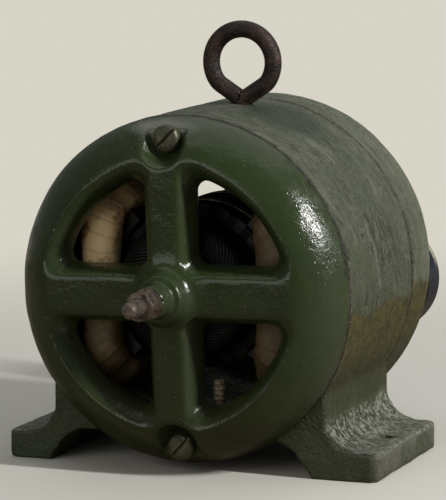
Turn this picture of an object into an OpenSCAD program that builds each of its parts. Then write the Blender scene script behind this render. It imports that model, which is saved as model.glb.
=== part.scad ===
// Small two-pole direct-current generator in a cast-iron drum frame.
// Millimetres. The shaft runs along Y with its nut end at -Y, Z is up,
// and the origin lies on the floor midway between the two foot bolt holes.

/* [Frame casting] */
// Outside diameter of the drum
yoke_d = 180; // [170:1:190]
// Length of the drum along the shaft
yoke_len = 96; // [90:1:110]
// Bore of the drum behind the pole seats
yoke_bore_d = 144; // [140:1:148]
// Height of the shaft above the floor
axis_h = 94; // [93:1:104]
// Width over both feet
foot_span = 206; // [200:1:220]
// Thickness of a foot at its outer edge
foot_t = 14; // [10:0.5:18]
// Distance between the two foot bolt holes
foot_hole_span = 181; // [174:1:184]
// Diameter of a foot bolt hole
foot_hole_d = 9; // [6:0.5:11]
// Radius of the hollow above a foot
foot_fillet = 18; // [12:1:20]
// Bevel on the corners of a foot, seen from above
foot_corner = 3; // [1:0.5:8]
// Distance from the middle to the right foot's inner edge
foot_inner_right = 67; // [60:1:74]
// Distance from the middle to the left foot's inner edge
foot_inner_left = 78; // [68:1:78]

/* [Field poles and coils] */
// Bore between the two pole shoes
pole_bore_d = 89; // [88:0.5:92]
// Thickness of a pole shoe
shoe_t = 7; // [5:0.5:8]
// Angle that one pole shoe spans
shoe_arc = 96; // [90:2:100]
// Length of a pole shoe along the shaft
shoe_len = 68; // [60:1:68]
// Height of a pole core
core_h = 60; // [40:1:60]
// Length of a pole core along the shaft
core_len = 68; // [44:1:68]
// Thickness of a field coil outwards from the shaft
coil_t = 20; // [14:0.5:20.5]
// Width of a field coil along its face
coil_w = 18; // [14:0.5:20]
// Half the length of a coil's centre line along the shaft
coil_reach = 44; // [40:0.5:45]
// Angle from the pole to a coil's long side
coil_side = 47; // [44:1:50]

/* [End bells] */
// Depth of the rounded nose of a bell
nose_depth = 25.5; // [24:0.5:30]
// Drop of the nose from the drum to its crest
nose_drop = 24; // [20:0.5:26]
// Straight skirt of the rear bell round the brush gear
rear_skirt = 26.5; // [24:0.5:32]
// Thickness of a bell's skirt
bell_wall = 16; // [12:0.5:16]
// Thickness of the front bell's spokes
spoke_t = 16; // [14:0.5:16]
// Thickness of the rear bell's spokes
rear_spoke_t = 15; // [12:0.5:16]
// Width of an upright spoke at its back
spoke_w = 27.5; // [24:0.5:31]
// Width of a level spoke at its back
cross_w = 30; // [26:0.5:33]
// Radius of the windows at their back
window_r = 61; // [56:1:63]
// Rounding of a window's corners
window_corner = 5.5; // [4:0.5:8]
// Turn of the bells on the drum, in degrees
bell_turn = 1.5; // [0:0.5:5]
// Lead of the bell screws ahead of the spokes, in degrees
screw_lead = 0.5; // [0:0.5:3]
// Diameter of a bearing hub's face
hub_d = 25; // [23:0.5:28]
// Height of a bearing hub above the spokes
hub_rise = 11; // [8:0.5:12]
// Length of the neck in front of the front hub
neck_len = 11.5; // [4:0.5:14]
// Diameter of that neck
neck_d = 18; // [17:0.5:18.5]
// Height of a screw pocket's floor above the drum
pocket_h = 13; // [11:0.5:14]
// Diameter of the circle of bell screws
screw_circle_d = 158; // [155:0.5:161]
// Diameter of a bell screw
bell_screw_d = 6.4; // [5:0.2:7]
// Diameter of a bell screw's head
bell_head_d = 14; // [12:0.5:15]

/* [Lifting eye] */
// Thickness of the eye's rod
eye_rod_d = 9; // [7:0.5:10]
// Radius of the ring's centre line
eye_ring_r = 17.4; // [15:0.2:20]
// Place of the eye to the right of the shaft
eye_x = 7; // [0:1:10]
// Place of the eye behind the middle of the drum
eye_y = 16; // [0:1:24]
// Depth of the eye's shank in the drum
eye_depth = 15; // [10:1:16]

/* [Armature and shaft] */
// Diameter of the armature core
core_d = 86; // [84:0.5:86.5]
// Length of the armature core
core_stack = 62; // [54:1:64]
// Number of slots and commutator bars
slots = 24; // [16:2:24]
// Depth of a slot
slot_depth = 12; // [8:0.5:14]
// Width of a slot
slot_w = 5; // [4:0.25:6]
// Length of the front end winding
winding_len = 22; // [16:0.5:22]
// Length of the rear end winding
rear_winding_len = 18; // [15:0.5:19]
// Diameter of the shaft through the core
shaft_d = 14; // [13:0.5:16]
// Diameter of both bearing journals
journal_d = 10; // [9:0.5:12]
// Diameter of the front stub
stub_d = 8.2; // [6:0.2:8.4]
// Diameter of the thread under the shaft nut
thread_d = 8.8; // [8.6:0.2:8.8]
// Length of the stub in front of its hub
stub_len = 24; // [16:1:50]
// Running clearance of a journal on its radius
journal_gap = 0.05; // [0.02:0.01:0.08]
// Diameter of the commutator
comm_d = 38; // [34:1:42]
// Length of the commutator
comm_len = 20; // [16:1:20]
// Width across the flats of the shaft nut
nut_af = 14; // [13:0.5:17]
// Thickness of the shaft nut
nut_t = 9; // [6:0.5:12]

/* [Brush gear] */
// Width of a brush along the shaft
brush_l = 12; // [8:0.5:14]
// Thickness of a brush round the commutator
brush_t = 6; // [5:0.5:8]
// Length of a brush
brush_h = 14; // [12:0.5:16]
// How far a brush lifts off the commutator
brush_lift = 3; // [2:0.5:4]
// Thickness of a brush box's sheet
box_sheet = 1.2; // [0.8:0.1:1.6]

/* [Pulley and terminals] */
// Diameter of the belt pulley
pulley_d = 60; // [44:1:80]
// Width of the pulley's rim
pulley_w = 26; // [18:1:32]
// Diameter of the terminal housing
term_d = 61; // [50:1:62]
// Height of the terminal housing
term_h = 22; // [18:1:26]
// Place of the terminal housing to the right of the shaft
term_x = 51; // [50:1:54]
// Place of the terminal housing below the shaft
term_drop = 14.5; // [10:0.5:18]

/* [Hidden] */

$fn = 96;
seat = 0.3;
cut = 1;
hole_gap = 0.1;
yoke_r = yoke_d / 2;
bore_r = yoke_bore_d / 2;
front_y = -yoke_len / 2;
rear_y = yoke_len / 2;
screw_r = screw_circle_d / 2;
journal_r = journal_d / 2;

// Bell heights, measured outwards from the seam with the drum
hub_h = nose_depth + hub_rise;
inner_boss_r = 15;
nose_power = 1.55;
nose_steps = 12;
cone_r = 24;
bush_wall = 2;
bush_r = journal_r + bush_wall;
bush_recess = 2;

// Windows flare towards the face of the spokes: depth below the face, and scale
flare_centre = 28.7;
flare = [[13, 1], [8, 1.07], [4.5, 1.17], [2, 1.28], [-0.6, 1.46]];

// Armature places along Y; the rear bell's skirt takes up what the brush gear needs behind the drum
front_room = 14;
rear_room = 20;
core_front = front_y + front_room;
core_rear = core_front + core_stack;
core_r = core_d / 2;
comm_front = core_rear + rear_winding_len + 2.5;
comm_rear = comm_front + comm_len;
comm_r = comm_d / 2;
hub_front_y = front_y - hub_h - neck_len;
rear_reach = rear_skirt + core_rear + rear_room - rear_y;
hub_rear_y = rear_y + rear_reach + hub_h;
rear_face_y = rear_y + rear_reach + nose_depth;
rear_plate_y = rear_face_y - rear_spoke_t;
rear_boss_y = comm_rear + 1.5;
front_boss_y = front_y - nose_depth + spoke_t;
pulley_y = rear_face_y + term_h + 3;
shaft_end = pulley_y + pulley_w + 2;
stub_tip = hub_front_y - stub_len;
washer_y = hub_front_y - 0.6;
washer_t = 1.4;
nut_face_y = washer_y - washer_t - nut_t;

// Pole and coil radii
pole_r = pole_bore_d / 2;
shoe_r = pole_r + shoe_t;
coil_mid = shoe_r + seat + coil_t / 2;
fit = 0.02;

rocker_t = 8;
rocker_y = rear_boss_y + 1;
rocker_r = inner_boss_r + 6;
arm_w = 14;
lug_l = 14;
lug_w = 10;
slit_w = 1.5;
shoe_screw_r = 3;
shoe_head_r = 5;
riser_w = 4;
riser_h = 4;
box_y = (comm_front + riser_w + comm_rear) / 2;
box_top = comm_r + 22;

// Children drawn in the XZ plane and raised towards the front from plane y
module towards_front(y) translate([0, y, axis_h]) rotate([90, 0, 0]) children();

// Children revolved about the shaft and raised towards the rear from plane y
module towards_rear(y) translate([0, y, axis_h]) rotate([-90, 0, 0]) children();

// A plain ring about the shaft between two planes
module shaft_ring(y0, y1, r_out, r_in) {
    towards_rear(y0) difference() {
        cylinder(r = r_out, h = y1 - y0);
        if (r_in > 0) translate([0, 0, -cut]) cylinder(r = r_in, h = y1 - y0 + 2 * cut);
    }
}

// Outline of the right foot with its neck, seen along the shaft
module foot_outline(inner) {
    neck_x = yoke_r - 15;
    half = foot_span / 2;
    top = foot_t + 0.5;
    difference() {
        translate([neck_x - 32, 0]) square([half - neck_x + 32, axis_h * 0.48]);
        translate([neck_x, top + foot_fillet]) square([half, axis_h]);
        translate([neck_x + foot_fillet, top]) square([half, axis_h]);
        translate([neck_x + foot_fillet, top + foot_fillet]) circle(r = foot_fillet);
        polygon([[neck_x - 40, -1], [inner, -1], [inner, 0], [inner - 1.2, 3], [inner - 9, foot_t - 1],
            [inner - 16, foot_t + 3], [neck_x - 40, foot_t + 4.5]]);
    }
}

// Plan of both feet, with bevelled corners
module foot_plan() {
    half = foot_span / 2;
    c = foot_corner;
    y = yoke_len / 2;
    polygon([[half, -y + c], [half, y - c], [half - c, y], [-half + c, y],
        [-half, y - c], [-half, -y + c], [-half + c, -y], [half - c, -y]]);
}

// Cast drum with two feet and two pole cores
module yoke_frame() {
    color("darkolivegreen") difference() {
        union() {
            towards_front(rear_y) cylinder(r = yoke_r, h = yoke_len);
            intersection() {
                translate([0, rear_y, 0]) rotate([90, 0, 0]) linear_extrude(yoke_len) {
                    foot_outline(foot_inner_right);
                    mirror([1, 0]) foot_outline(foot_inner_left);
                }
                linear_extrude(axis_h) foot_plan();
            }
        }
        difference() {
            towards_front(rear_y + cut) cylinder(r = bore_r, h = yoke_len + 2 * cut);
            for (s = [-1, 1]) pole_core(s);
        }
        for (s = [-1, 1]) {
            translate([s * foot_hole_span / 2, 0, -cut]) cylinder(d = foot_hole_d, h = foot_t + 20);
            for (y = [-1, 1]) shoe_screw_hole(s, y);
        }
        for (a = [90, 270], s = [-1, 1]) bell_screw_at(s, a)
            translate([0, 0, -14]) cylinder(r = bell_screw_d / 2 + hole_gap, h = 14 + cut);
        translate([eye_x, eye_y, axis_h + yoke_r - eye_depth - 1])
            cylinder(r = eye_rod_d / 2 + hole_gap, h = eye_depth + 5);
    }
}

// One pole core, cast with the drum
module pole_core(s) {
    difference() {
        translate([s > 0 ? 0 : -bore_r - 6, core_mid() - core_len / 2, axis_h - core_h / 2])
            cube([bore_r + 6, core_len, core_h]);
        shaft_ring(-yoke_len, yoke_len, shoe_r + seat, 0);
    }
}

// The field sits over the armature core
function core_mid() = (core_front + core_rear) / 2;

module shoe_screw_place(s, y) {
    translate([0, core_mid() + y * core_len / 4, axis_h]) rotate([0, s * 90, 0]) children();
}

module shoe_screw_hole(s, y) {
    shoe_screw_place(s, y) translate([0, 0, shoe_r - cut])
        cylinder(r = shoe_screw_r + hole_gap, h = 14);
}

// Pole shoe, bored to the armature, with countersinks for its two screws
module pole_shoe(s) {
    color("dimgray") difference() {
        towards_rear(core_mid() - shoe_len / 2) rotate([0, 0, s > 0 ? -shoe_arc / 2 : 180 - shoe_arc / 2])
            rotate_extrude(angle = shoe_arc) translate([pole_r, 0]) square([shoe_t, shoe_len]);
        for (y = [-1, 1]) shoe_screw_place(s, y) {
            cylinder(r = shoe_screw_r + hole_gap, h = shoe_r + 10);
            cylinder(r = 5.2, h = pole_r + 3);
        }
    }
}

// Slotted screws that hold the shoes, with their heads sunk in the bore
module pole_shoe_screws() {
    color("gray") for (s = [-1, 1], y = [-1, 1]) shoe_screw_place(s, y) difference() {
        union() {
            translate([0, 0, pole_r + 1]) cylinder(r = shoe_head_r, h = 2);
            translate([0, 0, pole_r + 1.5]) cylinder(r = shoe_screw_r, h = shoe_t + 10);
        }
        translate([-6, -0.6, pole_r]) cube([12, 1.2, 2]);
    }
}

// Saddle coil: a wound bundle bent round its pole
coil_corner = 16;
function coil_path(u) =
    let (
        half_s = coil_mid * coil_side * PI / 180,
        half_y = coil_reach,
        c = coil_corner,
        q = floor(u * 4),
        f = u * 4 - q,
        sx = (q == 0 || q == 3) ? 1 : -1,
        sy = (q == 0 || q == 1) ? 1 : -1,
        g = (q == 0 || q == 2) ? f : 1 - f,
        arc_part = 0.64,
        start = (1 - arc_part) / 2,
        a = 90 * min(max((g - start) / arc_part, 0), 1),
        lead = min(g / start, 1),
        tail = max((g - 1 + start) / start, 0),
        s = sx * ((half_s - c) * (1 - tail) + c * cos(a)),
        y = sy * ((half_y - c) * lead + c * sin(a))
    ) [s, y];
function coil_point(u, side) =
    let (p = coil_path(u), a = p[0] / coil_mid * 180 / PI)
    [side * coil_mid * cos(a), p[1], coil_mid * sin(a)];
coil_rings = 56;
coil_sides = 14;
coil_bow = 13.5;
coil_top_shift = 0.25;
function blend(x) = x <= 0 ? 0 : x >= 1 ? 1 : x * x * (3 - 2 * x);

// The coil's ends lie flatter than its sides, clear of the shoe's ends
function settle(p, side) =
    let (
        k = blend((abs(p[1]) - shoe_len / 2 - seat) / 7),
        x = p[0] - side * k * coil_bow * max(1 - 1.3 * pow(p[2] / 45, 2), -coil_top_shift),
        r = norm([x, p[2]]),
        f = min(1, (bore_r - 0.8) / r)
    ) [x * f, p[1], p[2] * f];
function wrap(i, n) = (i + n) % n;
function unit(v) = v / norm(v);

// Superellipse section of the wrapped bundle
function bundle(k, half_r, half_w) =
    let (t = 360 * k / coil_sides, c = cos(t), s = sin(t), e = 0.72)
    [half_r * sign(c) * pow(abs(c), e), half_w * sign(s) * pow(abs(s), e)];

module field_coil(side) {
    step = 1 / coil_rings;
    points = [for (i = [0 : coil_rings - 1])
        let (
            p = coil_point(i * step, side),
            before = coil_point(wrap(i - 1, coil_rings) * step, side),
            after = coil_point(wrap(i + 1, coil_rings) * step, side),
            t = unit(after - before),
            n = unit([p[0], 0, p[2]]),
            b = unit(cross(t, n))
        )
        for (k = [0 : coil_sides - 1])
            let (q = bundle(k, coil_t / 2, coil_w / 2)) settle(p + n * q[0] + b * q[1], side)];
    faces = [for (i = [0 : coil_rings - 1], k = [0 : coil_sides - 1])
        let (
            i2 = wrap(i + 1, coil_rings), k2 = wrap(k + 1, coil_sides),
            a = i * coil_sides + k, b = i * coil_sides + k2,
            c = i2 * coil_sides + k2, d = i2 * coil_sides + k
        )
        each (side > 0 ? [[a, c, b], [a, d, c]] : [[a, b, c], [a, c, d]])];
    color("peru") translate([0, core_mid(), axis_h]) polyhedron(points, faces);
}

// Nose curve of a bell from the drum's edge to its crest
function nose_curve(skirt) = [for (i = [0 : nose_steps])
    let (h = nose_depth * sin(90 * i / nose_steps), f = 1 - pow(h / nose_depth, nose_power))
    [yoke_r - nose_drop * (1 - pow(max(f, 0), 1 / nose_power)), skirt + h]];

// Turned blank of a bell, from the seam outwards along Z
module bell_blank(skirt, plate_t, boss_h, neck) {
    wall_r = yoke_r - bell_wall;
    face = skirt + nose_depth;
    plate = face - plate_t;
    top = skirt + hub_h;
    hub_r = hub_d / 2;
    rotate_extrude() polygon(concat(
        [[wall_r, 0]],
        skirt > 0 ? [[yoke_r, 0]] : [],
        nose_curve(skirt),
        [[hub_r + 10, face], [hub_r + 6, face + 0.6], [hub_r + 3.4, face + 1.8], [hub_r + 1.6, face + 4],
         [hub_r + 0.6, face + 7], [hub_r, top - 1.2], [hub_r - 0.8, top - 0.3], [hub_r - 1.8, top],
         [hub_r - 2.6, top - 0.4], [neck_d / 2 + 0.4, top - 1.6]],
        neck > 0
            ? [[neck_d / 2, top], [neck_d / 2 - 0.4, top + neck - 1], [neck_d / 2 - 1.4, top + neck]]
            : [],
        [[0, top + neck - (neck > 0 ? 0 : 1.6)],
         [0, boss_h], [inner_boss_r, boss_h], [inner_boss_r, plate],
         [wall_r - 6, plate], [wall_r - 2, plate - 2], [wall_r, plate - 6]]));
}

// Outline of the upper right window at the back of the plate: three round corners and the outer arc
function arc(centre, r, from, to, n) =
    [for (i = [0 : n]) let (t = from + (to - from) * i / n) centre + r * [cos(t), sin(t)]];
function window_outline() =
    let (
        a = spoke_w / 2 + window_corner,
        b = cross_w / 2 + window_corner,
        r = window_r - window_corner,
        right = [sqrt(r * r - b * b), b],
        top = [a, sqrt(r * r - a * a)],
        t1 = atan2(right[1], right[0]),
        t2 = atan2(top[1], top[0])
    )
    concat(
        arc([a, b], window_corner, 180, 270, 8), arc(right, window_corner, -90, t1, 10),
        [for (i = [1 : 13]) let (t = t1 + (t2 - t1) * i / 14) window_r * [cos(t), sin(t)]],
        arc(top, window_corner, t2, 180, 10));

// One flaring window cutter, in the first quadrant: the outline grows level by level to the face
module window_cutter(skirt, plate_t) {
    face = skirt + nose_depth;
    outline = window_outline();
    n = len(outline);
    centre = [flare_centre, flare_centre];
    levels = concat([[max(plate_t, flare[0][0]) + cut, 1]], flare);
    points = [for (level = levels, p = outline)
        let (q = centre + (p - centre) * level[1]) [q[0], q[1], face - level[0]]];
    last = (len(levels) - 1) * n;
    faces = concat(
        [[for (j = [0 : n - 1]) j]],
        [[for (j = [0 : n - 1]) last + n - 1 - j]],
        [for (i = [0 : len(levels) - 2], j = [0 : n - 1])
            let (k = wrap(j + 1, n)) [i * n + j, (i + 1) * n + j, (i + 1) * n + k, i * n + k]]);
    polyhedron(points, faces);
}

// Frame of one bell screw; s is -1 at the front and 1 at the rear
module bell_screw_at(s, a) {
    if (s < 0) towards_front(front_y) rotate([0, 0, bell_turn + screw_lead + a]) translate([screw_r, 0, 0])
        children();
    else towards_front(rear_y) rotate([0, 0, bell_turn + screw_lead + a]) translate([screw_r, 0, 0])
        mirror([0, 0, 1]) children();
}

// Screw pocket and hole in a bell; the pocket opens outwards through the nose
module bell_pocket(skirt) {
    r = bell_head_d / 2 + 1.6;
    floor_h = skirt + pocket_h;
    translate([screw_r, 0, floor_h]) cylinder(r1 = r, r2 = r + 6, h = nose_depth - pocket_h + cut);
    translate([0, 0, floor_h]) linear_extrude(nose_depth)
        polygon([[screw_r - 5.6, r - 0.6], [screw_r + 7, r + 5.5], [screw_r + 20, r + 5.5],
            [screw_r + 20, -r - 5.5], [screw_r + 7, -r - 5.5], [screw_r - 1, -r]]);
    translate([screw_r, 0, -cut]) cylinder(r = bell_screw_d / 2 + hole_gap, h = floor_h + 2 * cut);
}

module end_bell(skirt, plate_t, boss_h, neck, open_corners) {
    difference() {
        union() {
            bell_blank(skirt, plate_t, boss_h, neck);
            for (a = [90, 270]) rotate([0, 0, screw_lead + a]) intersection() {
                translate([screw_r, 0, 0]) cylinder(r = bell_head_d / 2 + 4, h = skirt + pocket_h - 0.5);
                cylinder(r = yoke_r - 6, h = skirt + pocket_h);
            }
        }
        for (c = open_corners) mirror([c[0] < 0 ? 1 : 0, 0, 0]) mirror([0, c[1] < 0 ? 1 : 0, 0])
            window_cutter(skirt, plate_t);
        for (a = [90, 270]) rotate([0, 0, screw_lead + a]) bell_pocket(skirt);
        translate([0, 0, boss_h - cut]) cylinder(r = bush_r, h = skirt + hub_h + neck + 2 * cut);
    }
}

module front_bell() {
    color("darkolivegreen") towards_front(front_y) rotate([0, 0, bell_turn])
        end_bell(0, spoke_t, front_y - front_boss_y, neck_len, [[1, 1], [-1, 1], [-1, -1], [1, -1]]);
}

// The rear bell carries a round pad for the terminal housing in place of one window
module rear_bell() {
    color("darkolivegreen") difference() {
        union() {
            translate([0, rear_y, axis_h]) rotate([90, 0, 0]) rotate([0, 0, bell_turn]) mirror([0, 0, 1])
                end_bell(rear_reach, rear_spoke_t, rear_boss_y - rear_y, 0, [[1, 1], [-1, 1], [-1, -1]]);
            intersection() {
                terminal_at(rear_plate_y) cylinder(d = term_d, h = rear_spoke_t);
                shaft_ring(rear_plate_y, rear_face_y, yoke_r + 2, bush_r + 4);
            }
        }
        terminal_at(rear_plate_y - cut) for (x = [-1, 1])
            translate([x * stud_gap / 2, 0, 0]) cylinder(r = stud_r + 1.6, h = rear_spoke_t + 2 * cut);
    }
}

// Bell screw with a slotted round head, its shank towards the drum
module bell_screw(skirt) {
    head_h = 5;
    floor_h = skirt + pocket_h;
    difference() {
        union() {
            translate([0, 0, -12]) cylinder(d = bell_screw_d, h = floor_h + 12.5);
            translate([0, 0, floor_h + 0.02]) rotate_extrude() polygon([
                [0, 0], [bell_head_d / 2, 0], [bell_head_d / 2, head_h - 2.2],
                [bell_head_d / 2 - 0.9, head_h - 1], [bell_head_d / 2 - 3, head_h - 0.2], [0, head_h]]);
        }
        rotate([0, 0, -45]) translate([-bell_head_d, -0.8, floor_h + head_h - 2.2])
            cube([bell_head_d * 2, 1.6, 4]);
    }
}

module front_bell_screws() {
    color("gray") for (a = [90, 270]) bell_screw_at(-1, a) bell_screw(0);
}

module rear_bell_screws() {
    color("gray") for (a = [90, 270]) bell_screw_at(1, a) bell_screw(rear_reach);
}

// Lifting eye bent from one rod: ring, two tighter bends and two arms that meet on the stem
eye_end_a = 120;
eye_arm_a = 147;
eye_bend_r = 10;
module rod_bend(r, radius, from, to) {
    rotate([90, 0, 0]) rotate([0, 0, 90 - to])
        rotate_extrude(angle = to - from) translate([radius, 0]) circle(r = r, $fn = 32);
}
module eye_bolt() {
    r = eye_rod_d / 2;
    middle_x = (eye_ring_r - eye_bend_r) * sin(eye_end_a);
    middle_z = (eye_ring_r - eye_bend_r) * cos(eye_end_a);
    arm_x = middle_x + eye_bend_r * sin(eye_arm_a);
    arm_z = middle_z + eye_bend_r * cos(eye_arm_a);
    arm_len = (arm_x - r / 3) / sin(eye_arm_a - 90);
    end_z = arm_z - arm_len * sin(eye_arm_a);
    rise = yoke_r - end_z + 2.5;
    color("dimgray") translate([eye_x, eye_y, axis_h + rise]) difference() {
        union() {
            rod_bend(r, eye_ring_r, -eye_end_a, eye_end_a);
            for (side = [0, 1]) mirror([side, 0, 0]) {
                translate([middle_x, 0, middle_z]) rod_bend(r - 0.01, eye_bend_r, eye_end_a - 1, eye_arm_a);
                translate([arm_x, 0, arm_z]) rotate([0, eye_arm_a + 90, 0])
                    translate([0, 0, -0.2]) cylinder(r = r - 0.02, h = arm_len + 0.2, $fn = 32);
            }
            translate([0, 0, end_z - eye_depth - 2]) cylinder(r = r, h = eye_depth + 5);
        }
        translate([-0.25, -r - cut, end_z - 0.5]) cube([0.5, 1.6 + cut, 6]);
    }
}

// Bronze bearing bush, pressed in its hub
module bush(y0, y1) {
    color("peru") shaft_ring(y0, y1, bush_r - fit, journal_r + journal_gap);
}
module front_bush() bush(hub_front_y + 0.4, front_boss_y);
module rear_bush() bush(rear_boss_y, hub_rear_y - bush_recess);

// Turned shaft with its stub, journals, seats and pulley end
module shaft() {
    r = shaft_d / 2;
    color("silver") towards_rear(stub_tip) rotate_extrude() polygon([
        [0, 0], [stub_d / 2 - 1.4, 0], [stub_d / 2, 1.4], [stub_d / 2, nut_face_y - stub_tip],
        [thread_d / 2, nut_face_y - stub_tip], [thread_d / 2, washer_y - stub_tip],
        [journal_r, washer_y - stub_tip], [journal_r, front_boss_y - stub_tip + 1],
        [r, front_boss_y - stub_tip + 1], [r, rear_boss_y - stub_tip - 1],
        [journal_r, rear_boss_y - stub_tip - 1], [journal_r, shaft_end - stub_tip - 1],
        [journal_r - 1, shaft_end - stub_tip], [0, shaft_end - stub_tip]]);
}

// Hardened collar that takes the end thrust on the front bush
module thrust_collar() {
    color("silver") shaft_ring(front_boss_y + 1.1, front_boss_y + 3, shaft_d / 2 + 2.6, shaft_d / 2 + fit);
}

// Laminated core with open slots
module armature_core() {
    color("dimgray") towards_rear(core_front) linear_extrude(core_stack) difference() {
        circle(r = core_r);
        circle(r = shaft_d / 2);
        for (i = [0 : slots - 1]) rotate(360 * i / slots)
            translate([core_r - slot_depth, -slot_w / 2]) square([slot_depth + cut, slot_w]);
    }
}

// Varnished coil sides that fill the slots
module slot_coils() {
    color("black") towards_rear(core_front) linear_extrude(core_stack)
        for (i = [0 : slots - 1]) rotate(360 * i / slots)
            translate([core_r - slot_depth, -slot_w / 2]) square([slot_depth - 0.8, slot_w]);
}

// End winding: coil ends lie side by side and sweep round as they close in on the shaft
winding_rows = [
    [1, 0, 0, 0], [1, 0.28, 0.9, 6], [0.995, 0.58, 1, 16], [0.95, 0.82, 1, 26],
    [0.84, 0.96, 1, 38], [0.68, 1, 1, 52], [0.50, 0.98, 0.9, 68], [0.36, 0.92, 0.3, 78],
    [0.22, 0.86, 0, 84], [0.22, 0, 0, 0]
];
winding_cols = 96;
end_step = 6;
module end_winding(sense, reach) {
    rows = len(winding_rows);
    base_r = core_r - end_step;
    rib = 0.9;
    points = [for (w = winding_rows, j = [0 : winding_cols - 1])
        let (
            a = 360 * j / winding_cols,
            bump = rib * w[2] * cos(slots * (a - sense * w[3])),
            r = max(base_r * w[0], shaft_d / 2 + 1) + (w[1] < 0.9 ? bump - rib * w[2] : 0),
            z = reach * w[1] - (w[1] < 0.9 ? 0 : rib * w[2]) + (w[1] < 0.9 ? 0 : bump)
        ) [r * cos(a), r * sin(a), z]];
    faces = [for (i = [0 : rows - 1], j = [0 : winding_cols - 1])
        let (
            i2 = wrap(i + 1, rows), j2 = wrap(j + 1, winding_cols),
            a = i * winding_cols + j, b = i * winding_cols + j2,
            c = i2 * winding_cols + j2, d = i2 * winding_cols + j
        )
        each [[a, c, b], [a, d, c]]];
    polyhedron(points, faces);
}
module armature_winding_front() {
    color("black") towards_front(core_front) end_winding(1, winding_len);
}
module armature_winding_rear() {
    color("black") towards_rear(core_rear) end_winding(-1, rear_winding_len);
}

// Binding bands round the core
module winding_bands() {
    color("goldenrod") for (f = [0.25, 0.75]) {
        y = core_front + core_stack * f;
        shaft_ring(y - 3, y + 3, core_r + 0.6, core_r + fit);
    }
}

// Copper bars with risers; thin sectors of mica lie between them
bar_gap_deg = 1.2;
bar_h = 6;
module bar_ring(start_deg, span_deg, drop) {
    for (i = [0 : slots - 1]) rotate([0, 0, 360 * i / slots + start_deg])
        rotate_extrude(angle = span_deg) polygon([
            [comm_r - bar_h, 0], [comm_r + riser_h - drop, 0], [comm_r + riser_h - drop, riser_w - 1],
            [comm_r - drop, riser_w], [comm_r - drop, comm_len], [comm_r - bar_h, comm_len]]);
}
module commutator_bars() {
    color("chocolate") towards_rear(comm_front) bar_ring(bar_gap_deg / 2, 360 / slots - bar_gap_deg, 0);
}
module commutator_mica() {
    color("wheat") towards_rear(comm_front) bar_ring(-bar_gap_deg / 2, bar_gap_deg, 0.8);
}
module commutator_sleeve() {
    color("saddlebrown") shaft_ring(comm_front, comm_rear, comm_r - bar_h, shaft_d / 2);
}

// Washer and nut on the front stub
module nut_washer() {
    color("silver") shaft_ring(washer_y - washer_t, washer_y, nut_af / 2 + 1, thread_d / 2 + fit);
}
module shaft_nut() {
    color("gray") towards_front(washer_y - washer_t) rotate([0, 0, 12]) difference() {
        intersection() {
            cylinder(d = nut_af / cos(30), h = nut_t, $fn = 6);
            cylinder(r1 = nut_af / 2 + 2.6, r2 = nut_af / 2 + 0.2, h = nut_t);
        }
        translate([0, 0, -cut]) cylinder(r = thread_d / 2 + fit, h = nut_t + 2 * cut);
    }
}

// Crowned belt pulley with a set screw in its hub
pulley_hub_r = 11;
module pulley() {
    r = pulley_d / 2;
    color("dimgray") difference() {
        towards_rear(pulley_y) rotate_extrude() polygon([
            [journal_r + fit, 0], [pulley_hub_r, 0], [pulley_hub_r, pulley_w / 2 - 2.5],
            [r - 5, pulley_w / 2 - 2.5],
            [r - 4.2, 0], [r - 1, 0], [r, pulley_w / 2], [r - 1, pulley_w], [r - 4.2, pulley_w],
            [r - 5, pulley_w / 2 + 2.5], [pulley_hub_r, pulley_w / 2 + 2.5],
            [pulley_hub_r, pulley_w], [journal_r + fit, pulley_w]]);
        translate([0, pulley_y + 5, axis_h]) cylinder(r = 2.6, h = pulley_hub_r + 2);
    }
}
module pulley_set_screw() {
    color("gray") translate([0, pulley_y + 5, axis_h + journal_r]) difference() {
        cylinder(r = 2.5, h = pulley_hub_r - journal_r);
        translate([-3, -0.5, pulley_hub_r - journal_r - 1.5]) cube([6, 1, 2]);
    }
}

// Rocker that carries both brush boxes, clamped on the rear hub's inner boss
module brush_rocker() {
    color("saddlebrown") difference() {
        union() {
            shaft_ring(rocker_y, rocker_y + rocker_t, rocker_r, inner_boss_r + seat);
            for (s = [-1, 1])
                translate([-arm_w / 2, rocker_y, axis_h + (s > 0 ? inner_boss_r + 3 : -box_top)])
                    cube([arm_w, rocker_t, box_top - inner_boss_r - 3]);
            translate([inner_boss_r + 2, rocker_y, axis_h - lug_w / 2]) cube([lug_l, rocker_t, lug_w]);
        }
        translate([inner_boss_r - 1, rocker_y - cut, axis_h - slit_w / 2])
            cube([lug_l + 6, rocker_t + 2 * cut, slit_w]);
        translate([rocker_r + 5, rocker_y + rocker_t / 2, axis_h - 6]) cylinder(r = 2.1, h = 12);
        for (s = [-1, 1]) insulator_hole(s);
    }
}
module insulator_hole(s) {
    translate([0, rocker_y - cut, axis_h + s * insulator_r]) rotate([-90, 0, 0])
        cylinder(r = 4, h = rocker_t + 2 * cut);
}
insulator_r = comm_r + 15;
module rocker_clamp_screw() {
    color("gray") translate([rocker_r + 5, rocker_y + rocker_t / 2, axis_h]) {
        translate([0, 0, -6]) cylinder(r = 2, h = 11.02);
        translate([0, 0, 5.02]) cylinder(r = 3.6, h = 2.6);
    }
}

// Insulating bushes between the rocker and the brush box studs
module brush_insulators() {
    color("black") for (s = [-1, 1]) translate([0, rocker_y, axis_h + s * insulator_r]) rotate([-90, 0, 0])
        difference() {
            union() {
                cylinder(r = 3.9, h = rocker_t);
                translate([0, 0, -1.2]) cylinder(r = 6, h = 1.2);
            }
            translate([0, 0, -2]) cylinder(r = 2.1, h = rocker_t + 4);
        }
}

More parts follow.
